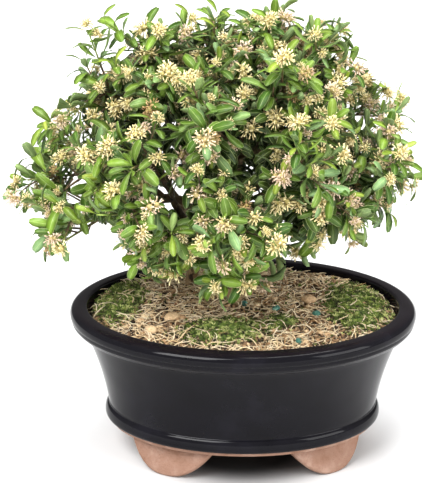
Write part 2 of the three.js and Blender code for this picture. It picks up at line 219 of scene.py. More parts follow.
def applied(piece):
    """Turns a piece's modifiers into its plain mesh."""
    evaluated = piece.evaluated_get(bpy.context.evaluated_depsgraph_get())
    made = bpy.data.meshes.new_from_object(evaluated)
    piece.modifiers.clear()
    piece.data = made
    return piece


# Node trees.


def node(tree, kind, inputs=None, **settings):
    """Adds a node, with its settings, and a value or link on each named input."""
    made = tree.nodes.new(kind)
    for name, value in settings.items():
        setattr(made, name, value)
    for key, value in (inputs or {}).items():
        if isinstance(value, bpy.types.NodeSocket):
            tree.links.new(value, made.inputs[key])
        else:
            made.inputs[key].default_value = value
    return made


def maths(tree, operation, *values):
    return node(tree, "ShaderNodeMath", dict(enumerate(values)), operation=operation).outputs[0]


def span(tree, value, low, high, start=0.0, end=1.0):
    """Where a value lies from low to high, as a smooth share from start to end."""
    inputs = {"Value": value, "From Min": low, "From Max": high, "To Min": start, "To Max": end}
    made = node(tree, "ShaderNodeMapRange", inputs, interpolation_type="SMOOTHSTEP")
    return made.outputs["Result"]


def blend(tree, share, first, second, how="MIX"):
    """Two colours mixed by a share."""
    inputs = {0: share, 6: first, 7: second}
    made = node(tree, "ShaderNodeMix", inputs, data_type="RGBA", blend_type=how)
    return made.outputs[2]


def paint(code):
    """A colour from its hex code."""
    parts = [int(code[i : i + 2], 16) / 255 for i in (0, 2, 4)]
    linear = [p / 12.92 if p <= 0.04045 else ((p + 0.055) / 1.055) ** 2.4 for p in parts]
    return (*linear, 1.0)


SOCKETS = {
    "value": "NodeSocketFloat",
    "count": "NodeSocketInt",
    "colour": "NodeSocketColor",
    "vector": "NodeSocketVector",
    "shape": "NodeSocketGeometry",
    "object": "NodeSocketObject",
    "material": "NodeSocketMaterial",
}


def new_tree(name, kind, inputs, outputs):
    """A node group with named inputs and outputs, and its two end nodes."""
    tree = bpy.data.node_groups.new(name, kind)
    for label, (form, value) in inputs.items():
        socket = tree.interface.new_socket(label, in_out="INPUT", socket_type=SOCKETS[form])
        if value is not None:
            socket.default_value = value
    for label, form in outputs.items():
        tree.interface.new_socket(label, in_out="OUTPUT", socket_type=SOCKETS[form])
    return tree, node(tree, "NodeGroupInput").outputs, node(tree, "NodeGroupOutput").inputs


def mottle_group():
    """Three colours in cloudy patches, with finer patches inside them."""
    inputs = {
        "Place": ("vector", None),
        "Size": ("value", 100.0),
        "Dark": ("colour", None),
        "Middle": ("colour", None),
        "Light": ("colour", None),
    }
    outputs = {"Colour": "colour", "Height": "value"}
    tree, given, result = new_tree("mottle", "ShaderNodeTree", inputs, outputs)
    settings = {"Vector": given["Place"], "Scale": given["Size"], "Detail": 5.0, "Roughness": 0.62}
    cloud = node(tree, "ShaderNodeTexNoise", settings).outputs[0]
    low = span(tree, cloud, 0.3, 0.52)
    high = span(tree, cloud, 0.5, 0.7)
    colour = blend(tree, low, given["Dark"], given["Middle"])
    tree.links.new(blend(tree, high, colour, given["Light"]), result["Colour"])
    tree.links.new(cloud, result["Height"])
    return tree


def grain_group():
    """Fine grains of two sizes, as a height."""
    inputs = {"Place": ("vector", None), "Size": ("value", 900.0), "Coarse share": ("value", 0.5)}
    tree, given, result = new_tree("grain", "ShaderNodeTree", inputs, {"Height": "value"})
    fine_inputs = {"Vector": given["Place"], "Scale": given["Size"], "Detail": 3.0}
    fine = node(tree, "ShaderNodeTexNoise", fine_inputs).outputs[0]
    coarse_size = maths(tree, "MULTIPLY", given["Size"], 0.3)
    cells = node(tree, "ShaderNodeTexVoronoi", {"Vector": given["Place"], "Scale": coarse_size})
    coarse = maths(tree, "MULTIPLY", cells.outputs["Distance"], given["Coarse share"])
    tree.links.new(maths(tree, "ADD", fine, coarse), result["Height"])
    return tree


def drawn_group():
    """Fibres drawn out along Z, as a height."""
    inputs = {"Place": ("vector", None), "Size": ("value", 500.0), "Drawn": ("value", 0.14)}
    tree, given, result = new_tree("drawn_fibres", "ShaderNodeTree", inputs, {"Height": "value"})
    scale = node(tree, "ShaderNodeCombineXYZ", {"X": 1.0, "Y": 1.0, "Z": given["Drawn"]}).outputs[0]
    inputs = {0: given["Place"], 1: scale}
    place = node(tree, "ShaderNodeVectorMath", inputs, operation="MULTIPLY").outputs[0]
    settings = {"Vector": place, "Scale": given["Size"], "Detail": 4.0, "Distortion": 0.6}
    tree.links.new(node(tree, "ShaderNodeTexNoise", settings).outputs[0], result["Height"])
    return tree


MOTTLE = mottle_group()
GRAIN = grain_group()
DRAWN = drawn_group()


def group(tree, shared, **inputs):
    """A shared group in a material, with this material's own values."""
    made = node(tree, "ShaderNodeGroup", node_tree=shared)
    for key, value in inputs.items():
        label = key.replace("_", " ")
        if isinstance(value, bpy.types.NodeSocket):
            tree.links.new(value, made.inputs[label])
        else:
            made.inputs[label].default_value = value
    return made.outputs


def mottled(tree, place, size, dark, middle, light):
    """The shared patches in three colours of this material's own."""
    return group(tree, MOTTLE, Place=place, Size=size, Dark=paint(dark), Middle=paint(middle),
                 Light=paint(light))


def new_material(name, **fixed):
    """A material with its shader, its tree and its object coordinates."""
    material = bpy.data.materials.new(name)
    material.use_nodes = True
    tree = material.node_tree
    shader = tree.nodes["Principled BSDF"]
    for key, value in fixed.items():
        shader.inputs[key.replace("_", " ")].default_value = value
    place = node(tree, "ShaderNodeTexCoord").outputs["Object"]
    return material, tree, shader, place


def put(tree, shader, **links):
    for key, value in links.items():
        tree.links.new(value, shader.inputs[key.replace("_", " ")])


def relief(tree, shader, height, depth):
    """Lets a height raise the surface by up to a depth in metres."""
    inputs = {"Height": height, "Distance": depth, "Strength": 1.0}
    tree.links.new(node(tree, "ShaderNodeBump", inputs).outputs[0], shader.inputs["Normal"])


def kept_value(tree, name):
    """A value that the piece keeps for each of its points."""
    return node(tree, "ShaderNodeAttribute", attribute_name=name).outputs["Fac"]


GLAZE_EDGE = (0.0226, 0.0230)
WORN_RIM = (0.0895, 0.0914)


def glaze_material():
    """Black-violet glaze that stops in an uneven line above bare pinkish clay."""
    material, tree, shader, place = new_material("glaze_over_clay", IOR=1.5,
                                                 Specular_IOR_Level=0.12)
    height = node(tree, "ShaderNodeSeparateXYZ", {0: place}).outputs["Z"]
    wave = node(tree, "ShaderNodeTexNoise", {"Vector": place, "Scale": 70.0, "Detail": 2.0})
    edge = maths(tree, "MULTIPLY_ADD", wave.outputs[0], 0.0012, height)
    glazed = span(tree, edge, *GLAZE_EDGE)
    glaze = mottled(tree, place, 38.0, "08070b", "0c0b10", "121117")
    clay = mottled(tree, place, 85.0, "876552", "957463", "a68878")
    specks = node(tree, "ShaderNodeTexVoronoi", {"Vector": place, "Scale": 520.0})
    spotted = span(tree, specks.outputs["Distance"], 0.1, 0.2)
    spotted_clay = blend(tree, spotted, paint("74523f"), clay["Colour"])
    toned = blend(tree, 0.6, spotted_clay, clay["Colour"])
    lip = span(tree, height, *WORN_RIM, 0.0, 0.25)
    worn_glaze = blend(tree, lip, glaze["Colour"], paint("2c2426"))
    put(tree, shader, Base_Color=blend(tree, glazed, toned, worn_glaze))
    put(tree, shader, Roughness=span(tree, glazed, 0, 1, 0.82, 0.09))
    grains = group(tree, GRAIN, Place=place, Size=1500.0)["Height"]
    rough_clay = maths(tree, "MULTIPLY", grains, span(tree, glazed, 0, 1, 1.0, 0.0))
    swell = node(tree, "ShaderNodeTexNoise", {"Vector": place, "Scale": 42.0, "Detail": 1.0})
    wavy = maths(tree, "MULTIPLY", swell.outputs[0], 0.7)
    relief(tree, shader, maths(tree, "ADD", rough_clay, wavy), 0.00045)
    return material


def bark_material():
    """Tan bark with drawn-out fissures that are darkened in part as painted shade, darker and greener
    higher up the boughs.
    """
    material, tree, shader, place = new_material("bark", Roughness=0.82)
    fissures = group(tree, DRAWN, Place=place, Size=520.0, Drawn=0.12)["Height"]
    patches = mottled(tree, place, 120.0, "5d4a33", "8d7450", "b79f78")
    # Darker in the fissures: partly the bark's own colour, partly painted shade in the grooves.
    dark = blend(tree, span(tree, fissures, 0.36, 0.5), paint("3b2c1d"), patches["Colour"])
    height = node(tree, "ShaderNodeSeparateXYZ", {0: place}).outputs["Z"]
    upper = span(tree, height, 0.105, 0.15, 0.0, 0.72)
    put(tree, shader, Base_Color=blend(tree, upper, dark, paint("4b3d26")))
    relief(tree, shader, fissures, 0.0012)
    return material


def twig_material():
    """Dark brown twig that turns green towards its tip."""
    material, tree, shader, place = new_material("twig_bark", Roughness=0.6)
    youth = kept_value(tree, "youth")
    patches = mottled(tree, place, 300.0, "33261a", "5c4a30", "7d6b48")
    green = mottled(tree, place, 300.0, "5f7a2c", "7f9a3c", "a2b458")
    fresh = span(tree, youth, 0.35, 0.85)
    put(tree, shader, Base_Color=blend(tree, fresh, patches["Colour"], green["Colour"]))
    relief(tree, shader, patches["Height"], 0.0003)
    return material


def leaf_material():
    """Glossy boxwood leaf: soft pale midrib and margin, bluish underside, yellower when young, and
    darkened by painted shade deeper in the crown.
    """
    material, tree, shader, place = new_material("boxwood_leaf", IOR=1.45, Specular_IOR_Level=0.38)
    map_point = node(tree, "ShaderNodeUVMap", uv_map="leaf_map").outputs[0]
    across, along, _ = node(tree, "ShaderNodeSeparateXYZ", {0: map_point}).outputs
    under = maths(tree, "GREATER_THAN", across, 1.5)
    sheet = maths(tree, "SUBTRACT", across, maths(tree, "MULTIPLY", under, 2.0))
    off_rib = maths(tree, "ABSOLUTE", maths(tree, "SUBTRACT", sheet, 0.5))
    rib = span(tree, off_rib, 0.0, 0.05, 1.0, 0.0)
    margin = span(tree, off_rib, 0.41, 0.5, 0.0, 0.6)
    slant = maths(tree, "SUBTRACT", maths(tree, "MULTIPLY", along, 26.0),
                  maths(tree, "MULTIPLY", off_rib, 22.0))
    veins = span(tree, maths(tree, "SINE", maths(tree, "MULTIPLY", slant, 2.0)), 0.6, 1.0)
    tint, youth = kept_value(tree, "tint"), kept_value(tree, "youth")
    deep = blend(tree, span(tree, tint, 0.0, 1.0), paint("3e6418"), paint("84a636"))
    fresh = blend(tree, tint, paint("8ea82c"), paint("b8c64c"))
    top = blend(tree, span(tree, youth, 0.35, 0.9), deep, fresh)
    bluish = blend(tree, span(tree, tint, 0.78, 0.97, 0.0, 0.5), top, paint("88b090"))
    # Painted shade: leaves deeper inside the crown are darkened towards near-black green.
    leaf_with_painted_shade = blend(tree, span(tree, kept_value(tree, "inner"), 0.06, 0.36, 0.0, 0.86), bluish,
                   paint("182a0c"))
    below = blend(tree, 0.55, leaf_with_painted_shade, paint("96ac76"))
    sides = blend(tree, under, leaf_with_painted_shade, below)
    cloud = mottled(tree, place, 230.0, "9a9a9a", "cccccc", "ffffff")
    clouded = blend(tree, 0.6, sides, cloud["Colour"], how="MULTIPLY")
    lined = blend(tree, maths(tree, "MULTIPLY", veins, 0.07), clouded, paint("b4c878"))
    edged = blend(tree, margin, lined, paint("c6d68c"))
    ribbed = blend(tree, maths(tree, "MULTIPLY", rib, 0.34), edged, paint("c4d48a"))
    put(tree, shader, Base_Color=ribbed)
    put(tree, shader, Roughness=span(tree, under, 0, 1, 0.34, 0.6))
    height = maths(tree, "SUBTRACT", maths(tree, "MULTIPLY", veins, 0.3), rib)
    relief(tree, shader, height, 0.0001)
    return material


def flower_material():
    """Cream stamens round a yellow heart, pinker and browner in older heads, darker at the heart and
    the stamen bases as painted shade.
    """
    material, tree, shader, place = new_material("stamen", Roughness=0.6)
    map_point = node(tree, "ShaderNodeUVMap", uv_map="leaf_map").outputs[0]
    outward, strand, _ = node(tree, "ShaderNodeSeparateXYZ", {0: map_point}).outputs
    tint = kept_value(tree, "tint")
    cream = blend(tree, strand, paint("f6e0a0"), paint("fff2c0"))
    pink = blend(tree, strand, paint("e8c8aa"), paint("fae2cc"))
    old = blend(tree, strand, paint("b08a58"), paint("d4b484"))
    aged = blend(tree, span(tree, tint, 0.6, 0.78), cream, pink)
    aged = blend(tree, span(tree, tint, 0.92, 0.97), aged, old)
    # Darker yellow-green towards the heart: partly the heart's own colour, partly painted shade deep in
    # the head.
    heart = blend(tree, span(tree, outward, 0.15, 0.75), paint("b4a45c"), aged)
    powder = mottled(tree, place, 900.0, "d0d0d0", "eeeeee", "ffffff")
    put(tree, shader, Base_Color=blend(tree, 0.5, heart, powder["Colour"], how="MULTIPLY"))
    relief(tree, shader, powder["Height"], 0.0002)
    return material


def soil_material():
    """Dark peaty mix with crumbs of every brown."""
    material, tree, shader, place = new_material("potting_soil", Roughness=0.95)
    cells = node(tree, "ShaderNodeTexVoronoi", {"Vector": place, "Scale": 620.0})
    crumb = node(tree, "ShaderNodeSeparateXYZ", {0: cells.outputs["Color"]}).outputs["X"]
    browns = mottled(tree, place, 160.0, "33261a", "644e38", "a28260")
    tan = blend(tree, span(tree, crumb, 0.55, 0.95), browns["Colour"], paint("dcbc8e"))
    dark = blend(tree, span(tree, cells.outputs["Distance"], 0.3, 0.8), tan, paint("1a120b"))
    put(tree, shader, Base_Color=dark)
    grains = group(tree, GRAIN, Place=place, Size=1400.0, Coarse_share=1.2)["Height"]
    relief(tree, shader, grains, 0.0012)
    return material


def straw_material(name, pale, deep, dark):
    """Dry plant matter, each bit with its own tint."""
    material, tree, shader, place = new_material(name, Roughness=0.8)
    tint = kept_value(tree, "tint")
    tone = blend(tree, tint, paint(pale), paint(deep))
    tone = blend(tree, span(tree, tint, 0.8, 1.0), tone, paint(dark))
    fibres = group(tree, DRAWN, Place=place, Size=900.0, Drawn=0.5)["Height"]
    shade = blend(tree, span(tree, fibres, 0.35, 0.65), paint("c0b4a6"), paint("ffffff"))
    put(tree, shader, Base_Color=blend(tree, 0.6, tone, shade, how="MULTIPLY"))
    relief(tree, shader, fibres, 0.0003)
    return material


def moss_material():
    """Moss in cloudy patches from near black, painted shade for its depths, to yellow-green at its
    tips.
    """
    material, tree, shader, place = new_material("moss", Roughness=0.9)
    tint = kept_value(tree, "tint")
    # The near-black patches are painted shade standing for the moss's depths.
    patches = mottled(tree, place, 260.0, "1e300a", "627a2c", "a6b652")
    tips = blend(tree, span(tree, tint, 0.66, 0.95), patches["Colour"], paint("dce090"))
    brown = blend(tree, span(tree, tint, 0.1, 0.4, 0.9, 0.0), tips, paint("32281a"))
    put(tree, shader, Base_Color=brown)
    grains = group(tree, GRAIN, Place=place, Size=2200.0, Coarse_share=0.8)["Height"]
    relief(tree, shader, grains, 0.0008)
    return material


def pellet_material():
    """Dusty teal granule."""
    material, tree, shader, place = new_material("teal_granule", Roughness=0.7)
    patches = mottled(tree, place, 420.0, "1e4a3e", "3a7060", "8cb4a2")
    put(tree, shader, Base_Color=patches["Colour"])
    relief(tree, shader, group(tree, GRAIN, Place=place, Size=1800.0)["Height"], 0.0004)
    return material


def screen_material():
    """Dull black plastic mesh, dusted with soil."""
    material, tree, shader, place = new_material("mesh_plastic")
    patches = mottled(tree, place, 240.0, "1d1f1e", "2b2e2c", "5a4e3e")
    put(tree, shader, Base_Color=patches["Colour"])
    put(tree, shader, Roughness=span(tree, patches["Height"], 0.3, 0.7, 0.45, 0.8))
    relief(tree, shader, patches["Height"], 0.0002)
    return material


GLAZE = glaze_material()
BARK = bark_material()
TWIG_BARK = twig_material()
LEAF = leaf_material()
STAMEN = flower_material()
SOIL = soil_material()
DRY_ROOT = straw_material("dry_root", "fff0d0", "f0d4a4", "b48e60")
CHIP = straw_material("chip_of_bark", "e8cfa6", "c69e74", "8c6442")
CRUMB = straw_material("soil_crumb", "b8946c", "604a34", "281c12")
MOSS = moss_material()
TEAL = pellet_material()


# The pot.


def half_depth(half_length):
    if half_length > OVAL_CORE:
        return half_length - OVAL_OFFSET
    return half_length * (OVAL_CORE - OVAL_OFFSET) / OVAL_CORE


def pot_outline():
    """Half lengths and heights of the fired clay, from the middle of its underside round."""
    outline = [(0.0, UNDERSIDE)]

    def line(x, z, steps=1):
        x0, z0 = outline[-1]
        outline.extend((x0 + (x - x0) * i / steps, z0 + (z - z0) * i / steps)
                       for i in range(1, steps + 1))

    def curve(cx, cz, x, z, steps=7):
        x0, z0 = outline[-1]
        for i in range(1, steps + 1):
            t = i / steps
            a, b, c = (1 - t) ** 2, 2 * t * (1 - t), t * t
            outline.append((a * x0 + b * cx + c * x, a * z0 + b * cz + c * z))

    line(60, UNDERSIDE, 4)
    line(76.9, UNDERSIDE)
    curve(77.7, 19.5, 77.9, 20.3, 3)
    line(78.5, 21.9)
    curve(80.9, 22.2, 80.8, 25.4)
    curve(80.6, 29.2, 78.9, 30.1)
    curve(78.3, 30.5, 78.7, 31.3, 3)
    curve(81.4, 52, 91.4, 76.2, 16)
    curve(91.8, 77.1, 92.6, 77.3, 3)
    line(96.2, 78.8)
    curve(97.6, 79.6, 98.2, 81.1, 4)
    curve(98.9, 81.3, 99.2, 82.3, 3)
    line(99.3, 83.6)
    curve(99.1, 84.3, 99.5, 84.5, 3)
    curve(POT_LENGTH / 2, 84.9, POT_LENGTH / 2, 86.6, 4)
    curve(POT_LENGTH / 2, 90.4, 95.5, 91.3, 10)
    line(91.4, 91.4, 3)
    curve(89.8, 91.3, 89.6, 88.6, 6)
    for half_length, height in INSIDE_WALL:
        line(half_length, height, 3)
    line(FLOOR_LENGTH, POT_FLOOR)
    line(0, POT_FLOOR, 3)
    return outline


def oval_ring(half_length, height, sides):
    depth = half_depth(half_length)
    return [(half_length * math.cos(turn), depth * math.sin(turn), height) for turn in turns(sides)]


def oval(outline, sides):
    """An outline turned round an oval, with one point at each end on the axis."""
    points = []
    rings = [p for p in outline if p[0] > 1e-6]
    for half_length, height in rings:
        points += oval_ring(half_length, height, sides)
    faces = bands(len(rings), sides)
    first, last = len(points), len(points) + 1
    points += [(0, 0, outline[0][1]), (0, 0, outline[-1][1])]
    end = (len(rings) - 1) * sides
    for side in range(sides):
        beside = (side + 1) % sides
        faces.append((first, beside, side))
        faces.append((last, end + side, end + beside))
    return points, faces


FOOT_ROOT = {"half": 26, "deep": 4}


def foot(angle):
    """One lobe with soft edges, bent along the slab's edge and splayed outwards."""
    steps, thick, bevel = 40, FOOT["thick"], FOOT["bevel"]
    rounding = [bevel * (1 - math.cos(math.radians(a))) for a in (0, 22.5, 45, 67.5, 90)]
    layers = [(r, bevel - math.sqrt(bevel**2 - (bevel - r) ** 2)) for r in rounding]
    layers += [(thick - depth, inset) for depth, inset in reversed(layers)]
    points = []
    for depth, inset in layers:
        for step in range(steps + 1):
            across = 2 * step / steps - 1
            height = UNDERSIDE * abs(across) ** FOOT["power"]
            slope = UNDERSIDE * FOOT["power"] * abs(across) ** (FOOT["power"] - 1) / FOOT["half"]
            steep = math.copysign(slope, across)
            norm = math.hypot(steep, 1)
            aside = FOOT["half"] * across - inset * steep / norm
            height += inset / norm - FOOT["sunk"]
            turn = angle + aside / FOOT["edge"]
            half_length = FOOT["inside"] + depth + FOOT["splay"] * (1 - height / UNDERSIDE)
            depth_here = half_depth(half_length) * math.sin(turn)
            points.append((half_length * math.cos(turn), depth_here, max(height, 0.0)))
        for aside in (FOOT_ROOT["half"], -FOOT_ROOT["half"]):
            turn, half_length = angle + aside / FOOT["edge"], FOOT["inside"] + depth
            spot = (half_length * math.cos(turn), half_depth(half_length) * math.sin(turn))
            points.append((*spot, UNDERSIDE + FOOT_ROOT["deep"]))
    row = steps + 3
    ends = [tuple(reversed(end)) for end in caps(len(points), row)]
    return points, bands(len(layers), row, over=True) + ends


def combined(body, tool, operation):
    """Joins or cuts a piece with another, which is then removed."""
    cut = body.modifiers.new("combine", "BOOLEAN")
    cut.operation, cut.object, cut.solver = operation, tool, "EXACT"
    applied(body)
    bpy.data.objects.remove(tool)
    return body


def outward(piece):
    """Turns every face of a closed piece outwards."""
    form = bmesh.new()
    form.from_mesh(piece.data)
    bmesh.ops.remove_doubles(form, verts=form.verts, dist=1e-6)
    bmesh.ops.recalc_face_normals(form, faces=form.faces)
    form.to_mesh(piece.data)
    form.free()
    return piece


def single(name, points, faces):
    form = Shape()
    form.add(points, faces)
    return form.piece(name)


POT_SIDES = 168
DRAIN_SIDES = 40
SHARPEST_SMOOTH = math.radians(38)


def make_pot():
    """Slab, wall and rim in one, with the four feet joined on and the two drains cut out."""
    body = outward(single("glazed_pot", *oval(pot_outline(), POT_SIDES)))
    for angle in FOOT_ANGLES:
        body = combined(body, outward(single("foot", *foot(math.radians(angle)))), "UNION")
    for side in (-1, 1):
        ends = [Vector((side * DRAIN_X, 0, z)) for z in (UNDERSIDE - 5, POT_FLOOR + 5)]
        drain = outward(single("drain", *tube(ends, [DRAIN_RADIUS] * 2, DRAIN_SIDES)))
        body = combined(body, drain, "DIFFERENCE")
    body.data.polygons.foreach_set("use_smooth", [True] * len(body.data.polygons))
    body.data.set_sharp_from_angle(angle=SHARPEST_SMOOTH)
    body.data.materials.clear()
    body.data.materials.append(GLAZE)
    finish_piece(body, "pot", slot="dark_glaze")


# Soil, moss and litter.


SOIL_LENGTH = 88
SOIL_REACH = 88.1
LITTER_REACH = 87
SOIL_GAP = 0.4
HEAP = {"high": 2.8, "front": 4, "deep": 42}


def cushion_off(cushion, x, y):
    """How far a point is from the middle of a moss cushion: 1 at its edge."""
    cx, cy, long, deep = cushion
    return ((x - cx) / long) ** 2 + ((y - cy) / deep) ** 2


def soil_top(x, y):
    """Height of the soil, as in the solids."""
    out = min(1, (x / SOIL_LENGTH) ** 2 + (y / half_depth(SOIL_LENGTH)) ** 2)
    height = SOIL_RIM + SOIL_RISE * (1 - out)
    return height + CUSHION_RISE * sum(math.exp(-cushion_off(c, x, y) ** 2) for c in CUSHIONS)


def heaped_top(x, y):
    """Height of the soil with a little more of it heaped towards the back."""
    return soil_top(x, y) + HEAP["high"] * min(1.0, max(0.0, (y - HEAP["front"]) / HEAP["deep"]))


def rough_top(x, y):
    """Height of the soil with its crumbs and hollows."""
    coarse = noise.fractal(Vector((x / 9, y / 9, 3.7)), 1.0, 2.0, 3)
    fine = noise.noise(Vector((x / 1.7, y / 1.7, 8.1)))
    return heaped_top(x, y) + 0.8 * coarse + 0.45 * fine - 0.3


def disc_faces(rings, sides):
    """Faces of rings round a middle point that comes first."""
    middle = [(0, 1 + side, 1 + (side + 1) % sides) for side in range(sides)]
    return middle + bands(rings, sides, 1, over=True)


def oval_grid(reach, rings, sides, height):
    """A round grid over the oval, with the middle point first."""
    points = [(0, 0, height(0, 0))]
    for ring in range(1, rings + 1):
        share = ring / rings
        for turn in turns(sides):
            x = reach * share * math.cos(turn)
            y = half_depth(reach) * share * math.sin(turn)
            points.append((x, y, height(x, y)))
    return points, disc_faces(rings, sides)


def make_soil():
    sides = 200
    points, faces = oval_grid(SOIL_REACH, 72, sides, rough_top)
    for half_length, height in [*INSIDE_WALL, (FLOOR_LENGTH - 3.6, POT_FLOOR + SOIL_GAP)]:
        faces += bands(2, sides, len(points) - sides, over=True)
        points += oval_ring(half_length - SOIL_GAP, height, sides)
    faces.append(tuple(reversed(range(len(points) - sides, len(points)))))
    piece = single("potting_soil", points, faces)
    piece.data.materials.append(SOIL)
    finish_piece(piece, "soil", slot="soil")


def make_moss():
    """Cushions with ragged edges and a lumpy top, closed underneath."""
    form = Shape()
    for number, (cx, cy, long, deep) in enumerate(CUSHIONS):
        rings, sides = 22, 72
        points = [(cx, cy, moss_height(cx, cy, 0))]
        for ring in range(1, rings + 1):
            share = ring / rings
            for turn in turns(sides):
                ragged = noise.noise(Vector((3 * math.cos(turn), 3 * math.sin(turn), number)))
                reach = share * (0.95 + 0.2 * ragged)
                x, y = cx + reach * long * math.cos(turn), cy + reach * deep * math.sin(turn)
                edge = math.hypot(x / LITTER_REACH, y / half_depth(LITTER_REACH))
                if edge > 1:
                    x, y = x / edge, y / edge
                points.append((x, y, moss_height(x, y, share)))
        underneath = tuple(reversed(range(len(points) - sides, len(points))))
        form.add(points, disc_faces(rings, sides) + [underneath], tint=0.35)
    piece = form.piece("moss_cushions")
    piece.data.materials.append(MOSS)
    finish_piece(piece)


def moss_height(x, y, share):
    lumps = noise.fractal(Vector((x / 4.5, y / 4.5, 1.3)), 1.0, 2.0, 2)
    return heaped_top(x, y) - 0.6 + (1.5 + 1.1 * lumps) * (1 - share**4) - 1.2 * share**8


def scatter_tree():
    """Bits laid over a surface by its own amount, each turned, tilted and sized by chance."""
    inputs = {
        "Surface": ("shape", None),
        "Bits": ("object", None),
        "Other bits": ("object", None),
        "Finish": ("material", None),
        "Number per square metre": ("value", 1000.0),
        "Smallest": ("value", 0.7),
        "Largest": ("value", 1.3),
        "Tilt": ("value", 0.2),
        "Seed": ("count", 1),
    }
    tree, given, result = new_tree("scatter", "GeometryNodeTree", inputs, {"Bits": "shape"})
    amount = node(tree, "GeometryNodeInputNamedAttribute", {"Name": "amount"}, data_type="FLOAT")
    number = maths(tree, "MULTIPLY", amount.outputs[0], given["Number per square metre"])
    spots = node(tree, "GeometryNodeDistributePointsOnFaces",
                 {"Mesh": given["Surface"], "Density": number, "Seed": given["Seed"]})

    def chance(low, high, offset, kind="FLOAT"):
        seed = maths(tree, "ADD", given["Seed"], float(offset))
        made = node(tree, "FunctionNodeRandomValue", data_type=kind)
        slots = {"FLOAT": (2, 3), "FLOAT_VECTOR": (0, 1)}[kind]
        for slot, value in zip(slots, (low, high)):
            if isinstance(value, bpy.types.NodeSocket):
                tree.links.new(value, made.inputs[slot])
            else:
                made.inputs[slot].default_value = value
        tree.links.new(seed, made.inputs["Seed"])
        return made.outputs[1 if kind == "FLOAT" else 0]

    bits = node(tree, "GeometryNodeJoinGeometry")
    for label in ("Bits", "Other bits"):
        info = node(tree, "GeometryNodeObjectInfo", {"Object": given[label], "As Instance": True})
        tree.links.new(info.outputs["Geometry"], bits.inputs[0])
    spin = chance((0, 0, 0), (0, 0, 2 * math.pi), 1, "FLOAT_VECTOR")
    low = maths(tree, "MULTIPLY", given["Tilt"], -1.0)
    tilt = node(tree, "ShaderNodeCombineXYZ", {"X": chance(low, given["Tilt"], 2),
                                               "Y": chance(low, given["Tilt"], 3)}).outputs[0]
    spun = node(tree, "FunctionNodeRotateRotation",
                {"Rotation": spots.outputs["Rotation"], "Rotate By": spin}, rotation_space="LOCAL")
    tilted = node(tree, "FunctionNodeRotateRotation",
                  {"Rotation": spun.outputs[0], "Rotate By": tilt}, rotation_space="LOCAL")
    size = chance(given["Smallest"], given["Largest"], 4)
    laid = node(tree, "GeometryNodeInstanceOnPoints",
                {"Points": spots.outputs["Points"], "Instance": bits.outputs[0],
                 "Pick Instance": True, "Rotation": tilted.outputs[0], "Scale": size})
    tree.links.new(chance(0.0, 1.99, 5), laid.inputs["Instance Index"])
    tinted = node(tree, "GeometryNodeStoreNamedAttribute",
                  {"Geometry": laid.outputs[0], "Name": "tint"}, data_type="FLOAT",
                  domain="INSTANCE")
    tree.links.new(chance(0.0, 1.0, 6), tinted.inputs["Value"])
    real = node(tree, "GeometryNodeRealizeInstances", {"Geometry": tinted.outputs[0]})
    done = node(tree, "GeometryNodeSetMaterial",
                {"Geometry": real.outputs[0], "Material": given["Finish"]})
    tree.links.new(done.outputs[0], result["Bits"])
    return tree


def set_inputs(modifier, tree, values):
    """Sets a modifier's inputs by the identifiers of their sockets."""
    sockets = {s.name: s.identifier for s in tree.interface.items_tree if s.in_out == "INPUT"}
    for name, value in values.items():
        modifier[sockets[name]] = value


PATTERNS = []


def pattern(name, points, faces):
    """A hidden pattern piece that copies are taken from, about its own middle."""
    form = Shape()
    form.add(points, faces)
    made = bpy.data.objects.new(name, form.mesh(name, planned=False))
    made.hide_render = True
    bpy.context.scene.collection.objects.link(made)
    PATTERNS.append(made)
    return made


SCATTER = scatter_tree()


def scattered(name, patterns, finish, amount, lift, number, smallest, largest, tilt, seed):
    """A piece of bits laid over the soil, at most so many a square metre, by amount(x, y)."""
    points, faces = oval_grid(LITTER_REACH, 40, 120, lambda x, y: heaped_top(x, y) + lift)
    form = Shape()
    form.add(points, faces, amount=[float(amount(p[0], p[1])) for p in points])
    piece = form.piece(name)
    modifier = piece.modifiers.new("scatter", "NODES")
    modifier.node_group = SCATTER
    set_inputs(modifier, SCATTER, {
        "Bits": patterns[0],
        "Other bits": patterns[1],
        "Finish": finish,
        "Number per square metre": float(number),
        "Smallest": smallest,
        "Largest": largest,
        "Tilt": tilt,
        "Seed": seed,
    })
    applied(piece)
    piece.data.polygons.foreach_set("use_smooth", [True] * len(piece.data.polygons))
    finish_piece(piece)
    return piece


def mossy(x, y):
    """1 on the moss, falling to 0 just past its edge."""
    nearest = min(cushion_off(c, x, y) for c in CUSHIONS)
    return max(0.03, min(1.0, (1.5 - nearest) / 0.8))


def dry_root_pattern(name, seed):
    """A curling root fibre, 20 mm long, lying along X."""
    path = []
    radii = [r * MM for r in (0.2, 0.42, 0.54, 0.55, 0.5, 0.38, 0.16)]
    for step in range(len(radii)):
        t = step / (len(radii) - 1) - 0.5
        aside = 2.6 * math.sin(5 * t + 6 * draw(seed, 1)) + 3 * t * t * (draw(seed, 2) - 0.5) * 4
        path.append(Vector((20 * t, aside, 1.8 * math.cos(4 * t + draw(seed, 3)) - 0.8)) * MM)
    return pattern(name, *tube(path, radii, 3))


def crumb_pattern(name, seed, flat=0.7, long=1.0):
    """A lump of 1 mm radius with uneven corners."""
    ring = 6
    points = [Vector((0, 0, -flat)) * MM]
    for level in (-0.45, 0.45):
        for side in range(ring):
            turn = 2 * math.pi * (side + 0.5 * (level > 0)) / ring
            reach = 0.75 + 0.4 * draw(seed + side, 5 + level)
            spot = Vector((long * reach * math.cos(turn), reach * math.sin(turn), level * flat))
            points.append(spot * MM)
    points.append(Vector((0, 0, flat)) * MM)
    faces = []
    top = len(points) - 1
    for side in range(ring):
        beside = (side + 1) % ring
        faces.append((0, 1 + beside, 1 + side))
        faces.append((1 + side, 1 + beside, 1 + ring + side))
        faces.append((1 + beside, 1 + ring + beside, 1 + ring + side))
        faces.append((1 + ring + side, 1 + ring + beside, top))
    return pattern(name, points, faces)


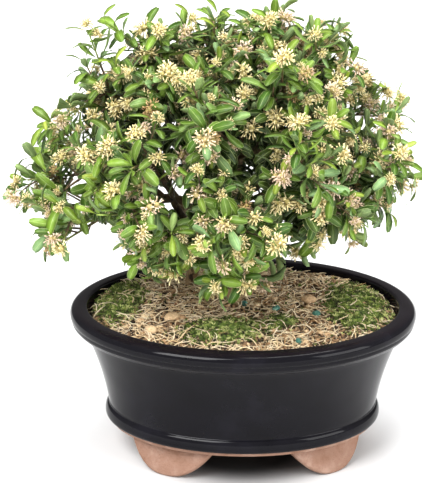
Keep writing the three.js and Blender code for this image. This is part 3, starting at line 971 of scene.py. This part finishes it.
def moss_shoot_pattern(name, seed):
    """A star of short pointed moss leaves, 1.6 mm across."""
    points, faces = [], []
    for blade in range(6):
        turn = 2 * math.pi * blade / 6 + 0.4 * draw(seed, blade)
        rise = 0.5 + 0.7 * draw(seed, 10 + blade)
        out = Vector((math.cos(turn), math.sin(turn), rise)).normalized()
        side = Vector((-math.sin(turn), math.cos(turn), 0))
        first = len(points)
        for spot in (Vector((0, 0, -0.4)), out * 0.45 + side * 0.2, out * 1.15,
                     out * 0.45 - side * 0.2, out * 0.5 + Vector((0, 0, 0.22))):
            points.append(spot * MM)
        base, left, tip, right, ridge = range(first, first + 5)
        faces += [(base, ridge, left), (left, ridge, tip), (tip, ridge, right),
                  (right, ridge, base), (base, left, tip, right)]
    return pattern(name, points, faces)


def bare(x, y):
    """1 off the moss, a quarter on it."""
    return 1 - 0.75 * mossy(x, y)


def leftward(x, y):
    """Most on the bare soil at the left and in the middle."""
    return bare(x, y) * (1.0 if x < 30 else 0.7)


def make_litter():
    """Moss shoots, crumbs, dry roots and flakes of bark, each a piece of its own."""
    roots = [dry_root_pattern("root_pattern_a", 3), dry_root_pattern("root_pattern_b", 8)]
    crumbs = [crumb_pattern("crumb_pattern_a", 4), crumb_pattern("crumb_pattern_b", 17, 0.5, 1.5)]
    shoots = [moss_shoot_pattern("shoot_pattern_a", 5), moss_shoot_pattern("shoot_pattern_b", 6)]
    scattered("moss_shoots", shoots, MOSS, amount=mossy, lift=0.7, number=380000,
              smallest=0.8, largest=1.9, tilt=0.6, seed=11)
    scattered("soil_crumbs", crumbs, CRUMB, amount=bare, lift=0.2, number=170000,
              smallest=0.4, largest=1.3, tilt=1.2, seed=21)
    scattered("dry_roots", roots, DRY_ROOT, amount=leftward, lift=0.8, number=135000,
              smallest=0.3, largest=0.8, tilt=0.5, seed=31)
    scattered("bark_flakes", crumbs[::-1], CHIP, amount=bare, lift=0.6, number=8000,
              smallest=0.7, largest=2.0, tilt=0.5, seed=41)


def lump(centre, radius, flat, seed, turn, rings=9, sides=16):
    """A rounded, uneven lump."""
    points = []
    for ring in range(1, rings):
        rise = math.pi * ring / rings
        for around in turns(sides):
            way = Vector((math.sin(rise) * math.cos(around), math.sin(rise) * math.sin(around),
                          -math.cos(rise)))
            reach = radius * (1 + 0.16 * noise.noise(way * 1.7 + Vector((seed, 0, 0)))
                              + 0.14 * noise.noise(way * 4.5 + Vector((0, seed, 0)))
                              + 0.1 * noise.noise(way * 9 + Vector((0, 0, seed))))
            x, y = reach * way.x, reach * way.y * 0.75
            spot = (x * math.cos(turn) - y * math.sin(turn), x * math.sin(turn) + y * math.cos(turn))
            points.append((centre[0] + spot[0], centre[1] + spot[1], centre[2] + reach * flat * way.z))
    return points, bands(rings - 1, sides) + caps(len(points), sides)


def make_loose_pieces():
    """Each pellet and chip of the solids, rounded and broken as it lies."""
    for node_name in sorted(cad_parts):
        chip = node_name.startswith("bark_chip")
        if not chip and not node_name.startswith("fertiliser_pellet"):
            continue
        low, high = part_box(node_name)
        middle = ((low + high) / 2 - POT_MIDDLE) / MM
        size = (high - low) / MM
        seed = int(node_name[-1])
        form = Shape()
        radius = max(size.x, size.y) * (0.46 if chip else 0.5)
        form.add(*lump(middle - Vector((0, 0, 0.4)), radius, size.z / (2 * radius), seed, 2 * seed,
                       16, 26),
                 tint=0.2 + 0.15 * seed)
        piece = form.piece(node_name + "_lump")
        piece.data.materials.append(CHIP if chip else TEAL)
        finish_piece(piece, node_name, slot="bark_chip" if chip else "pellet")


# The wood.

FOOT_OF_TRUNK = Vector((-7, 12, 60))
TRUNK = bend(FOOT_OF_TRUNK, (-4, 10, 120), (-22, 10, 140), (-11, 9, 216))
SECOND_STEM = bend((-31, 31, 84), (-33, 29, 104), (-18, 16, 118), (-34, 10, 152))
ROOTS = [(143, 32), (222, 22), (290, 19), (10, 24)]
BOUGHS = [
    (TRUNK, 0.36, 338, 0),
    (TRUNK, 0.42, 32, 6),
    (TRUNK, 0.39, 88, 0),
    (SECOND_STEM, 0.8, 146, 4),
    (SECOND_STEM, 0.97, 196, 2),
    (TRUNK, 0.34, 236, -4),
    (TRUNK, 0.45, 285, 4),
    (TRUNK, 0.56, 55, 44),
    (TRUNK, 0.6, 175, 46),
    (TRUNK, 0.52, 290, 42),
]
BOUGH_SHARE = 0.5
UP = Vector((0, 0, 1))


def heading(bearing, rise):
    b, r = math.radians(bearing), math.radians(rise)
    return Vector((math.cos(b) * math.cos(r), math.sin(b) * math.cos(r), math.sin(r)))


def crown_reach(way):
    """How far the crown reaches from its middle in a direction."""
    upright = CROWN["up"] if way.z > 0 else CROWN["down"]
    power = CROWN["power"]
    total = abs(way.x / CROWN["long"]) ** power + abs(way.y / CROWN["deep"]) ** power
    return (total + abs(way.z / upright) ** power) ** (-1 / power)


def bough_curve(stem, share, bearing, rise):
    start, way = stem(share), heading(bearing, rise)
    end = CROWN_MIDDLE + BOUGH_SHARE * crown_reach(way) * way
    low, high = start.lerp(end, 0.35) - 4 * UP, start.lerp(end, 0.75) - 3 * UP
    return bend(start, low, high, end)


LIMBS = [(TRUNK, UP, 0.045)]
LIMBS += [(bough_curve(*bough), heading(*bough[2:]), 0.11) for bough in BOUGHS]


def trunk_radius(along, turn):
    flare = 3.2 * math.exp(-(((along - 0.2) / 0.09) ** 2))
    flute = 1 + 0.1 * math.cos(3 * turn + 5 * along) + 0.05 * math.cos(7 * turn - 9 * along)
    return (7.2 - 5.6 * along**0.8 + flare) * flute


def root_curve(bearing, long):
    turn = math.radians(bearing)

    def spot(out, lift):
        x = FOOT_OF_TRUNK.x + out * math.cos(turn)
        y = FOOT_OF_TRUNK.y + out * math.sin(turn)
        return Vector((x, y, soil_top(x, y) + lift))

    return bend(spot(1, 7), spot(0.45 * long, 1.5), spot(0.8 * long, 0), spot(long, -6))


def tapered(curve, thick, thin, steps, sides, wander, seed):
    """A limb that gets thinner, with small knots and a slight wander."""
    path = evenly(curve, steps)
    for step in range(1, steps):
        off = noise.noise_vector(Vector((step * 0.35, seed, 1.5)))
        path[step] += wander * off
    radii = [thick + (thin - thick) * i / steps for i in range(steps + 1)]
    radii = [r * (1 + 0.12 * noise.noise(Vector((i * 0.6, seed, 9)))) for i, r in enumerate(radii)]
    return tube(path, radii, sides)


BARK_CELL = 0.8
BARK_RELIEF = {"fissure": 0.42, "knots": 0.4, "fine": 0.16}


def make_wood():
    """Trunk, stem, roots and boughs grown together, with fissured bark."""
    form = Shape()
    form.add(*tube(evenly(TRUNK, 90), [1] * 91, 40, trunk_radius))
    form.add(*tapered(SECOND_STEM, 3.6, 2.4, 40, 20, 0.8, 3))
    for bearing, long in ROOTS:
        form.add(*tapered(root_curve(bearing, long), 3.9, 1.6, 24, 18, 1.2, bearing))
    for number, bough in enumerate(BOUGHS):
        form.add(*tapered(bough_curve(*bough), 2.9, 1.3, 30, 14, 1.3, 20 + number))
    piece = form.piece("bark_and_boughs")
    remesh = piece.modifiers.new("grown_together", "REMESH")
    remesh.mode, remesh.voxel_size = "VOXEL", BARK_CELL * MM
    soften = piece.modifiers.new("soften", "SMOOTH")
    soften.factor, soften.iterations = 0.5, 3
    applied(piece)
    mesh = piece.data
    count = len(mesh.vertices)
    places = np.empty(count * 3, np.float32)
    mesh.vertices.foreach_get("co", places)
    normals = np.array([v.normal for v in mesh.vertices], np.float32)
    places = places.reshape(-1, 3)
    lifts = np.empty(count, np.float32)
    for i, (x, y, z) in enumerate((places / MM).tolist()):
        thick = max(0.25, min(1.0, (165 - z) / 60))
        fissure = noise.noise(Vector((x * 0.55, y * 0.55, z * 0.09)))
        knots = noise.noise(Vector((x * 0.16, y * 0.16, z * 0.12 + 5)))
        fine = noise.noise(Vector((x * 1.3, y * 1.3, z * 0.35)))
        lifts[i] = thick * (BARK_RELIEF["fissure"] * fissure + BARK_RELIEF["knots"] * knots
                            + BARK_RELIEF["fine"] * fine)
    places += normals * lifts[:, None] * MM
    mesh.vertices.foreach_set("co", places.ravel())
    mesh.polygons.foreach_set("use_smooth", [True] * len(mesh.polygons))
    mesh.materials.append(BARK)
    mesh.update()
    finish_piece(piece, "trunk_and_boughs", slot="bark")


# The leafy sprays.


# Ends of a few long shoots that stand out of the crown.
SHOOTS = [
    (-86, 5, 250),
    (-76, 4, 254),
    (-30, 10, 254),
    (-47, 4, 249),
    (33, 0, 125),
    (20, 6, 122),
    (-111, 6, 198),
    (86, 8, 208),
]
# Ovals in the front view that hold no foliage: place along X, rise, half width, half height.
DAYLIGHT = [
    (-84, 119, 17, 11),
    (-91, 143, 8, 11),
    (-35, 136, 10, 10),
    (-102, 101, 9, 9),
    (-71, 120, 5, 9),
    (-68, 109, 7, 7),
    (-124, 170, 8, 7),
    (-116, 128, 9, 6),
    (-121, 116, 7, 6),
    (50, 118, 8, 8),
    (89, 137, 9, 8),
    (45, 250, 9, 9),
    (-58, 247, 9, 8),
    (26, 257, 9, 5),
    (95, 192, 6, 8),
    (-118, 190, 7, 7),
    (103, 154, 5, 12),
]


# How far a millimetre of height, or of depth, moves a spot up the front view.
RISE_OF_HEIGHT = 0.921
RISE_OF_DEPTH = 0.389


def daylit(where):
    """Whether a spot lies where daylight shows through the foliage from the front."""
    rise = RISE_OF_HEIGHT * where.z + RISE_OF_DEPTH * where.y
    return any(((where.x - x) / wide) ** 2 + ((rise - up) / high) ** 2 < 1
               for x, up, wide, high in DAYLIGHT)


def depth_in_crown(where):
    """How deep a spot is in the crown, as a share of the crown's reach that way."""
    off = where - CROWN_MIDDLE
    return max(0.0, 1 - off.length / crown_reach(off.normalized()))


def spray_tip(index):
    """The tip of a spray's main twig: spread evenly over the crown, or one of the strays."""
    if index >= CROWN_SPRAYS:
        return Vector(STRAYS[index - CROWN_SPRAYS])
    up = HIGHEST - (HIGHEST - LOWEST) * (index + 0.5) / CROWN_SPRAYS
    turn = FIRST_TURN + index * GOLDEN + 0.5 * (draw(index, 1) - 0.5)
    flat = math.sqrt(1 - up * up)
    way = Vector((flat * math.cos(turn), flat * math.sin(turn), up))
    reach = crown_reach(way) * (0.96 + 0.1 * draw(index, 2)) - TIP_INSET
    return CROWN_MIDDLE + reach * way + Vector((CROWN["lean"] * up, 0, 0))


TIPS = [spray_tip(index) for index in range(CROWN_SPRAYS + len(STRAYS))]


def bearer(tip):
    """The limb that heads most nearly a spray's way, and how nearly it does."""
    way = (tip - CROWN_MIDDLE).normalized()
    matches = [limb[1].dot(way) for limb in LIMBS]
    best = max(range(len(LIMBS)), key=lambda number: matches[number])
    return best, matches[best]


BEARERS = [bearer(tip) for tip in TIPS]


def spray_twigs(index, attempt):
    """Ends of a spray's main twig and its two side twigs, as the solids place them."""

    def luck(item):
        return draw(index, item + 0.37 * attempt)

    tip = TIPS[index]
    limb, match = BEARERS[index]
    rank = sum(1 for other in BEARERS if other[0] == limb and other[1] > match)
    curve, _, step = LIMBS[limb]
    base = curve(1 - step * (rank + 0.1 * attempt * luck(3)))
    ahead = (tip - base).normalized()
    level = UP.cross(ahead).normalized()
    upright = level.cross(ahead)
    twigs = [(base, tip)]
    for side in range(2):
        start = base.lerp(tip, 0.46 + 0.24 * side + 0.06 * luck(10 + side))
        turn = 2 * math.pi * luck(20) + math.pi * side + luck(30 + side)
        aside = level * math.cos(turn) + upright * math.sin(turn)
        long = 19 + 6 * luck(40 + side)
        twigs.append((start, start + ahead * 0.66 * long + aside * 0.75 * long))
    return twigs


def solid_twigs(index):
    """The attempt at a spray's twigs that the solid holds: its side twigs end on its points."""
    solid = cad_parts[f"leafy_spray_{index + 1:02d}"].data.vertices
    tree = KDTree(len(solid))
    for i, vertex in enumerate(solid):
        tree.insert((vertex.co - POT_MIDDLE) / MM, i)
    tree.balance()
    attempts = [spray_twigs(index, attempt) for attempt in range(40)]
    return min(attempts, key=lambda twigs: sum(tree.find(end)[2] for _, end in twigs[1:]))


def store_map(piece, map_points):
    layer = piece.data.uv_layers.new(name="leaf_map")
    layer.data.foreach_set("uv", [value for spot in map_points for value in spot])


# Where along a leaf its outline has points, and its half width there as a share of the widest.
LEAF_STATIONS = [(0, 0.07), (0.11, 0.16), (0.28, 0.43), (0.49, 0.78), (0.71, 1.0), (0.89, 0.82),
                 (0.985, 0.4)]


def leaf_pattern(name, width, curl, cup, notch):
    """One leaf, 1 m long along X and facing +Z: a thin closed lens with a groove along its rib."""
    points, faces, map_points = [], [], []
    for along, half in LEAF_STATIONS:
        y = half * width / 2
        z = 0.16 * curl * math.sin(math.pi * along) - 0.22 * curl * along**2
        edge = z + cup * y
        rib = along - (notch if along > 0.95 else 0)
        thick = 0.018 * min(1, 4 * half)
        points += [Vector((along, y, edge)), Vector((rib, 0, z)),
                   Vector((along, -y, edge)), Vector((rib, 0, z - thick))]
    top, under = (0, 0.5, 1, None), (2, None, 3, 2.5)

    def face(corners, sheet):
        faces.append(corners)
        map_points.extend((sheet[corner % 4], LEAF_STATIONS[corner // 4][0]) for corner in corners)

    for station in range(len(LEAF_STATIONS) - 1):
        left, mid, right, low = range(4 * station, 4 * station + 4)
        face((left, mid, mid + 4, left + 4), top)
        face((mid, right, right + 4, mid + 4), top)
        face((left, left + 4, low + 4, low), under)
        face((low, low + 4, right + 4, right), under)
    last = 4 * (len(LEAF_STATIONS) - 1)
    ends = (2, 2.5, 3, 2.5)
    face((1, 0, 3, 2), ends)
    face((last, last + 1, last + 2, last + 3), ends)
    made = pattern(name, points, faces)
    store_map(made, map_points)
    return made


def tuft_pattern(name, strands, seed):
    """A flower head of 1 m radius facing +X: stamens that thicken outwards, round a heart."""
    points, faces, map_points = [], [], []

    def face(corners, outward, shade):
        faces.append(corners)
        map_points.extend((out, shade) for out in outward)

    for strand in range(strands):
        up = 1 - 1.7 * (strand + 0.5) / strands
        turn = strand * GOLDEN + seed
        flat = math.sqrt(1 - up * up)
        way = Vector((up, flat * math.cos(turn), flat * math.sin(turn)))
        way = (way + 0.4 * noise.noise_vector(way * 3 + Vector((seed, 0, 0)))).normalized()
        reach = 0.7 + 0.34 * draw(strand, seed)
        side = way.orthogonal().normalized()
        first = len(points)
        points.append(way * 0.1)
        for corner in range(3):
            points.append(way * reach + Quaternion(way, 2.1 * corner) @ side * 0.083)
        shade = draw(strand, seed + 1)
        for corner in range(3):
            here, there = first + 1 + corner, first + 1 + (corner + 1) % 3
            face((first, here, there), (0.1, 1.0, 1.0), shade)
        face((first + 3, first + 2, first + 1), (1.0, 1.0, 1.0), shade)
    heart, heart_faces = lump((0, 0, 0), 0.34, 1.0, seed, 0, 3, 5)
    first = len(points)
    points += [Vector((x, y / 0.75, z)) for x, y, z in heart]
    for corners in heart_faces:
        face(tuple(first + corner for corner in corners), [0.3] * len(corners), 0.5)
    made = pattern(name, points, faces)
    store_map(made, map_points)
    return made


def spray_tree():
    """Puts leaves and flower heads on the points of a spray that hold them."""
    inputs = {
        "Twigs and places": ("shape", None),
        "Leaf size": ("value", 1.0),
        "Flower size": ("value", 1.0),
        "Twig finish": ("material", None),
        "Leaf finish": ("material", None),
        "Flower finish": ("material", None),
    }
    for kind, patterns in (("Leaf", LEAF_PATTERNS), ("Flower", TUFT_PATTERNS)):
        for number in range(len(patterns)):
            inputs[f"{kind} pattern {number + 1}"] = ("object", None)
    tree, given, result = new_tree("leafy_spray", "GeometryNodeTree", inputs, {"Spray": "shape"})

    def held(name, kind):
        made = node(tree, "GeometryNodeInputNamedAttribute", {"Name": name}, data_type=kind)
        return next(output for output in made.outputs if output.enabled and output.name == "Attribute")

    def only(shape, organ):
        match = node(tree, "FunctionNodeCompare", data_type="INT", operation="EQUAL")
        tree.links.new(held("organ", "INT"), match.inputs[2])
        match.inputs[3].default_value = organ
        chosen = node(tree, "GeometryNodeSeparateGeometry",
                      {"Geometry": shape, "Selection": match.outputs[0]}, domain="POINT")
        return chosen.outputs["Selection"]

    def grown(organ, kind, patterns, size, finish):
        choice = node(tree, "GeometryNodeJoinGeometry")
        for number in range(len(patterns)):
            info = node(tree, "GeometryNodeObjectInfo",
                        {"Object": given[f"{kind} pattern {number + 1}"], "As Instance": True})
            tree.links.new(info.outputs["Geometry"], choice.inputs[0])
        turn = node(tree, "FunctionNodeAxesToRotation",
                    {"Primary Axis": held("along", "FLOAT_VECTOR"),
                     "Secondary Axis": held("facing", "FLOAT_VECTOR")},
                    primary_axis="X", secondary_axis="Z")
        scale = maths(tree, "MULTIPLY", held("size", "FLOAT"), size)
        laid = node(tree, "GeometryNodeInstanceOnPoints",
                    {"Points": only(given["Twigs and places"], organ),
                     "Instance": choice.outputs[0], "Pick Instance": True,
                     "Instance Index": held("kind", "INT"), "Rotation": turn.outputs[0],
                     "Scale": scale})
        real = node(tree, "GeometryNodeRealizeInstances", {"Geometry": laid.outputs[0]})
        done = node(tree, "GeometryNodeSetMaterial", {"Geometry": real.outputs[0], "Material": finish})
        return done.outputs[0]

    twigs = node(tree, "GeometryNodeSetMaterial",
                 {"Geometry": only(given["Twigs and places"], 0), "Material": given["Twig finish"]})
    whole = node(tree, "GeometryNodeJoinGeometry")
    tree.links.new(twigs.outputs[0], whole.inputs[0])
    leaves = grown(1, "Leaf", LEAF_PATTERNS, given["Leaf size"], given["Leaf finish"])
    flowers = grown(2, "Flower", TUFT_PATTERNS, given["Flower size"], given["Flower finish"])
    tree.links.new(leaves, whole.inputs[0])
    tree.links.new(flowers, whole.inputs[0])
    tree.links.new(whole.outputs[0], result["Spray"])
    return tree


LEAF_PATTERNS = [
    leaf_pattern("leaf_pattern_a", 0.35, 0.9, 0.14, 0.02),
    leaf_pattern("leaf_pattern_b", 0.29, 0.5, 0.34, 0.0),
    leaf_pattern("leaf_pattern_c", 0.38, 1.4, 0.07, 0.02),
    leaf_pattern("leaf_pattern_d", 0.32, -0.5, 0.24, 0.01),
]
TUFT_PATTERNS = [
    tuft_pattern("tuft_pattern_a", 20, 2),
    tuft_pattern("tuft_pattern_b", 18, 7),
    tuft_pattern("tuft_pattern_c", 16, 9),
]
SPRAY = spray_tree()

TWIG_STEPS = 5
TWIG_SIDES = 5
THICKEST_TWIGLET = 0.7
DEEPEST_FLOWER = 0.34
LEAF_LENGTH = 13.4
LEAF_REACH = 7
MISSING_LEAVES = 0.05
# Least and greatest of what varies from leaf to leaf, for the pair at a twig's tip and the rest.
TIP_SPREAD, SPREAD = (0.5, 1.0), (0.65, 1.2)
TIP_SIZE, SIZE = (0.66, 0.92), (0.86, 1.2)
TIP_BLOOM = {"share": 0.82, "radius": (3.4, 6.9)}
SIDE_BLOOM = {"share": 0.72, "radius": (3.0, 5.0)}
TWIGLETS = 13


def aside_of(ahead, turn):
    """The direction straight off a twig at a turn round it."""
    level = UP.cross(ahead).normalized()
    return level * math.cos(turn) + level.cross(ahead) * math.sin(turn)


class Spray:
    """Twigs, leaves and flower heads of one spray, with draws of its own."""

    def __init__(self, index):
        self.index = index
        self.form = Shape()
        self.drawn = 100

    def chance(self):
        self.drawn += 1
        return draw(self.index, self.drawn)

    def between(self, low, high):
        return low + (high - low) * self.chance()

    def twig(self, start, end, thick, thin, pairs, bare, youth):
        """A slightly bowed twig with its leaves and flower heads."""
        if thick < THICKEST_TWIGLET and daylit(end):
            return
        ahead = (end - start).normalized()
        bow = aside_of(ahead, 2 * math.pi * self.chance()) * self.between(0.02, 0.06)
        bow *= (end - start).length
        path = [start.lerp(end, i / TWIG_STEPS) + bow * math.sin(math.pi * i / TWIG_STEPS)
                for i in range(TWIG_STEPS + 1)]
        radii = [thick + (thin - thick) * i / TWIG_STEPS for i in range(TWIG_STEPS + 1)]
        points, faces = tube(path, radii, TWIG_SIDES)
        green = [youth * (i // TWIG_SIDES) / TWIG_STEPS for i in range(len(points))]
        self.form.add(points, faces, organ=0, youth=green, tint=0.5)
        self.leaves(start, end, ahead, bow, pairs, bare, youth)

    def leaves(self, start, end, ahead, bow, pairs, bare, youth):
        turn = 2 * math.pi * self.chance()
        for pair in range(pairs):
            share = 1 - (1 - bare) * pair / max(1, pairs)
            where = start.lerp(end, share) + bow * math.sin(math.pi * share)
            spread = self.between(*(TIP_SPREAD if pair == 0 else SPREAD))
            size = self.between(*(TIP_SIZE if pair == 0 else SIZE))
            fresh = youth * (0.55 + 0.45 * self.chance()) if pair == 0 else youth * self.chance() * 0.6
            for half in (0, 1):
                if self.chance() < MISSING_LEAVES:
                    continue
                self.leaf(where, ahead, turn + math.pi * half + self.between(-0.3, 0.3),
                          spread, size, fresh)
            turn += math.pi / 2 + self.between(-0.25, 0.25)
        self.flowers(start, end, ahead, bow, pairs, bare)

    def leaf(self, where, ahead, turn, spread, size, fresh):
        aside = aside_of(ahead, turn)
        along = ahead * math.cos(spread) + aside * math.sin(spread) - UP * self.between(0, 0.18)
        if daylit(where + LEAF_REACH * along):
            return
        facing = ahead * 0.8 + UP * 0.7 - aside * 0.3
        # inner: the leaf's depth in the crown, which darkens it as painted shade.
        self.form.add([where + aside * 0.5], [], organ=1, kind=int(4 * self.chance()),
                      along=along.normalized(), facing=facing.normalized(),
                      size=LEAF_LENGTH * MM * size * self.between(0.78, 1.24),
                      tint=self.chance(), youth=fresh, inner=depth_in_crown(where))

    def flowers(self, start, end, ahead, bow, pairs, bare):
        if self.chance() < TIP_BLOOM["share"]:
            size = self.between(*TIP_BLOOM["radius"])
            self.bloom(end + ahead * (1.5 + 0.5 * size), ahead, size)
        if self.chance() < SIDE_BLOOM["share"]:
            share = 1 - (1 - bare) * (0.6 + 1.8 * self.chance()) / pairs
            way = aside_of(ahead, 2 * math.pi * self.chance())
            size = self.between(*SIDE_BLOOM["radius"])
            where = start.lerp(end, share) + bow * math.sin(math.pi * share) + way * (1.5 + size)
            self.bloom(where, (way + ahead).normalized(), size)

    def bloom(self, where, along, size):
        """Three to five flower heads grown into one."""
        tint, turn = self.chance(), 2 * math.pi * self.chance()
        self.flower(where, along, size, tint)
        for _ in range(2 + int(2.7 * self.chance())):
            turn += self.between(1.6, 2.8)
            off = aside_of(along, turn) * self.between(0.25, 0.6) + along * self.between(-0.3, 0.3)
            self.flower(where + off * size, (along + off).normalized(),
                        size * self.between(0.55, 0.85), tint)

    def flower(self, where, along, size, tint):
        if daylit(where):
            return
        kind = int(3 * self.chance())
        if depth_in_crown(where) < DEEPEST_FLOWER:
            self.form.add([where], [], organ=2, kind=kind, along=along,
                          facing=along.orthogonal(), size=size * MM, tint=tint, youth=0.0)


def make_spray(index):
    """One spray: its main twig, two side twigs, small twigs all along it and any long shoot."""
    spray = Spray(index)
    main, *sides = solid_twigs(index)
    spray.twig(*main, thick=1.3, thin=0.5, pairs=7, bare=0.5, youth=spray.between(0.3, 1.0))
    ahead = (main[1] - main[0]).normalized()
    for start, end in sides:
        spray.twig(start, end, thick=0.75, thin=0.45, pairs=6, bare=0.25,
                   youth=spray.between(0.2, 1.0))
    turn = 2 * math.pi * spray.chance()
    for number in range(TWIGLETS):
        share = 0.08 + 0.068 * number + spray.between(-0.03, 0.03)
        start = main[0].lerp(main[1], share)
        turn += GOLDEN
        long = spray.between(11, 18)
        end = start + (ahead * 0.62 + aside_of(ahead, turn) * 0.78) * long
        spray.twig(start, end, thick=0.6, thin=0.4, pairs=4, bare=0.2,
                   youth=spray.between(0.1, 1.0))
    for shoot in map(Vector, SHOOTS):
        if min(range(len(TIPS)), key=lambda other: (TIPS[other] - shoot).length) == index:
            spray.twig(main[0].lerp(main[1], 0.7), shoot, thick=0.8, thin=0.4, pairs=6, bare=0.4,
                       youth=0.9)
    piece = spray.form.piece(f"spray_foliage_{index + 1:02d}")
    modifier = piece.modifiers.new("foliage", "NODES")
    modifier.node_group = SPRAY
    values = {"Leaf size": 1.0, "Flower size": 1.0, "Twig finish": TWIG_BARK,
              "Leaf finish": LEAF, "Flower finish": STAMEN}
    for kind, patterns in (("Leaf", LEAF_PATTERNS), ("Flower", TUFT_PATTERNS)):
        for number, made in enumerate(patterns):
            values[f"{kind} pattern {number + 1}"] = made
    set_inputs(modifier, SPRAY, values)
    applied(piece)
    finish_piece(piece, f"leafy_spray_{index + 1:02d}", slot="leaf")


make_pot()
make_soil()
make_moss()
make_litter()
make_loose_pieces()
make_wood()
for spray_index in range(len(TIPS)):
    make_spray(spray_index)
for used in PATTERNS:
    bpy.data.objects.remove(used)

SCREEN_PLASTIC = screen_material()
for screen_name in ("drain_screen_left", "drain_screen_right"):
    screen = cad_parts[screen_name]
    screen.data.materials.clear()
    screen.data.materials.append(SCREEN_PLASTIC)


# Floor, lights and camera.


def make_floor():
    """A pale floor with painted shadow: it darkens right under the pot, where little light gets to it,
    and stays greyer round the pot.
    """
    made = bpy.data.meshes.new("floor")
    far = 8.0
    made.from_pydata([(-far, -far, 0), (far, -far, 0), (far, far, 0), (-far, far, 0)], [],
                     [(0, 1, 2, 3)])
    floor = bpy.data.objects.new("floor", made)
    bpy.context.scene.collection.objects.link(floor)
    material, tree, shader, place = new_material("pale_floor", Roughness=0.9)
    tone = mottled(tree, place, 0.4, "f8f8f8", "fafafa", "fcfcfc")
    off = node(tree, "ShaderNodeVectorMath", {0: place, 1: POT_MIDDLE}, operation="DISTANCE")
    # Painted shadow: nearly black right under the pot, grey round it, then the pale floor further out.
    painted_floor_shadow = blend(tree, span(tree, off.outputs["Value"], 0.03, 0.07), paint("303030"), paint("d8d8d8"))
    away = span(tree, off.outputs["Value"], 0.2, 1.0)
    put(tree, shader, Base_Color=blend(tree, away, painted_floor_shadow, tone["Colour"]))
    shader.inputs["Specular IOR Level"].default_value = 0.1
    made.materials.append(material)


def area_light(name, place, aim, size, power, colour=(1, 1, 1)):
    data = bpy.data.lights.new(name, "AREA")
    data.shape, data.size, data.size_y = "RECTANGLE", size[0], size[1]
    data.energy, data.color = power, colour
    made = bpy.data.objects.new(name, data)
    made.location = place
    made.rotation_euler = (Vector(aim) - Vector(place)).to_track_quat("-Z", "Y").to_euler()
    bpy.context.scene.collection.objects.link(made)


def make_light():
    """A pale room, darker behind the object, and three soft lamps."""
    world = bpy.data.worlds.new("studio")
    world.use_nodes = True
    tree = world.node_tree
    way = node(tree, "ShaderNodeTexCoord").outputs["Generated"]
    behind = node(tree, "ShaderNodeSeparateXYZ", {0: way}).outputs["Y"]
    tree.nodes["Background"].inputs["Color"].default_value = (1, 1, 1, 1)
    tree.links.new(span(tree, behind, 0.0, 0.75, 0.9, 0.3), tree.nodes["Background"].inputs["Strength"])
    bpy.context.scene.world = world
    bpy.context.scene.view_settings.view_transform = "Standard"
    area_light("key", (-0.8, -1.2, 1.7), (0, 0, 0.14), (1.1, 1.1), 64)
    area_light("top", (0.2, 0.2, 1.9), (0, 0, 0.1), (1.0, 1.0), 34)
    area_light("fill", (1.4, -0.9, 0.8), (0, 0, 0.1), (1.0, 1.0), 20)


CAMERA = {"lens": 128.7, "sensor": 36, "rise": math.radians(22.9), "rim": 0.09,
          "aim": (-0.0184, 0, 0.129)}


def make_camera():
    """Looks down at the object from a metre in front of the pot's rim."""
    data = bpy.data.cameras.new("camera")
    data.lens, data.sensor_width = CAMERA["lens"], CAMERA["sensor"]
    data.clip_end = 50
    camera = bpy.data.objects.new("camera", data)
    back = Vector((0, -math.cos(CAMERA["rise"]), math.sin(CAMERA["rise"])))
    camera.location = POT_MIDDLE + Vector((0, 0, CAMERA["rim"])) + back
    aim = POT_MIDDLE + Vector(CAMERA["aim"])
    camera.rotation_euler = (aim - camera.location).to_track_quat("-Z", "Y").to_euler()
    bpy.context.scene.collection.objects.link(camera)
    bpy.context.scene.camera = camera


make_floor()
make_light()
make_camera()
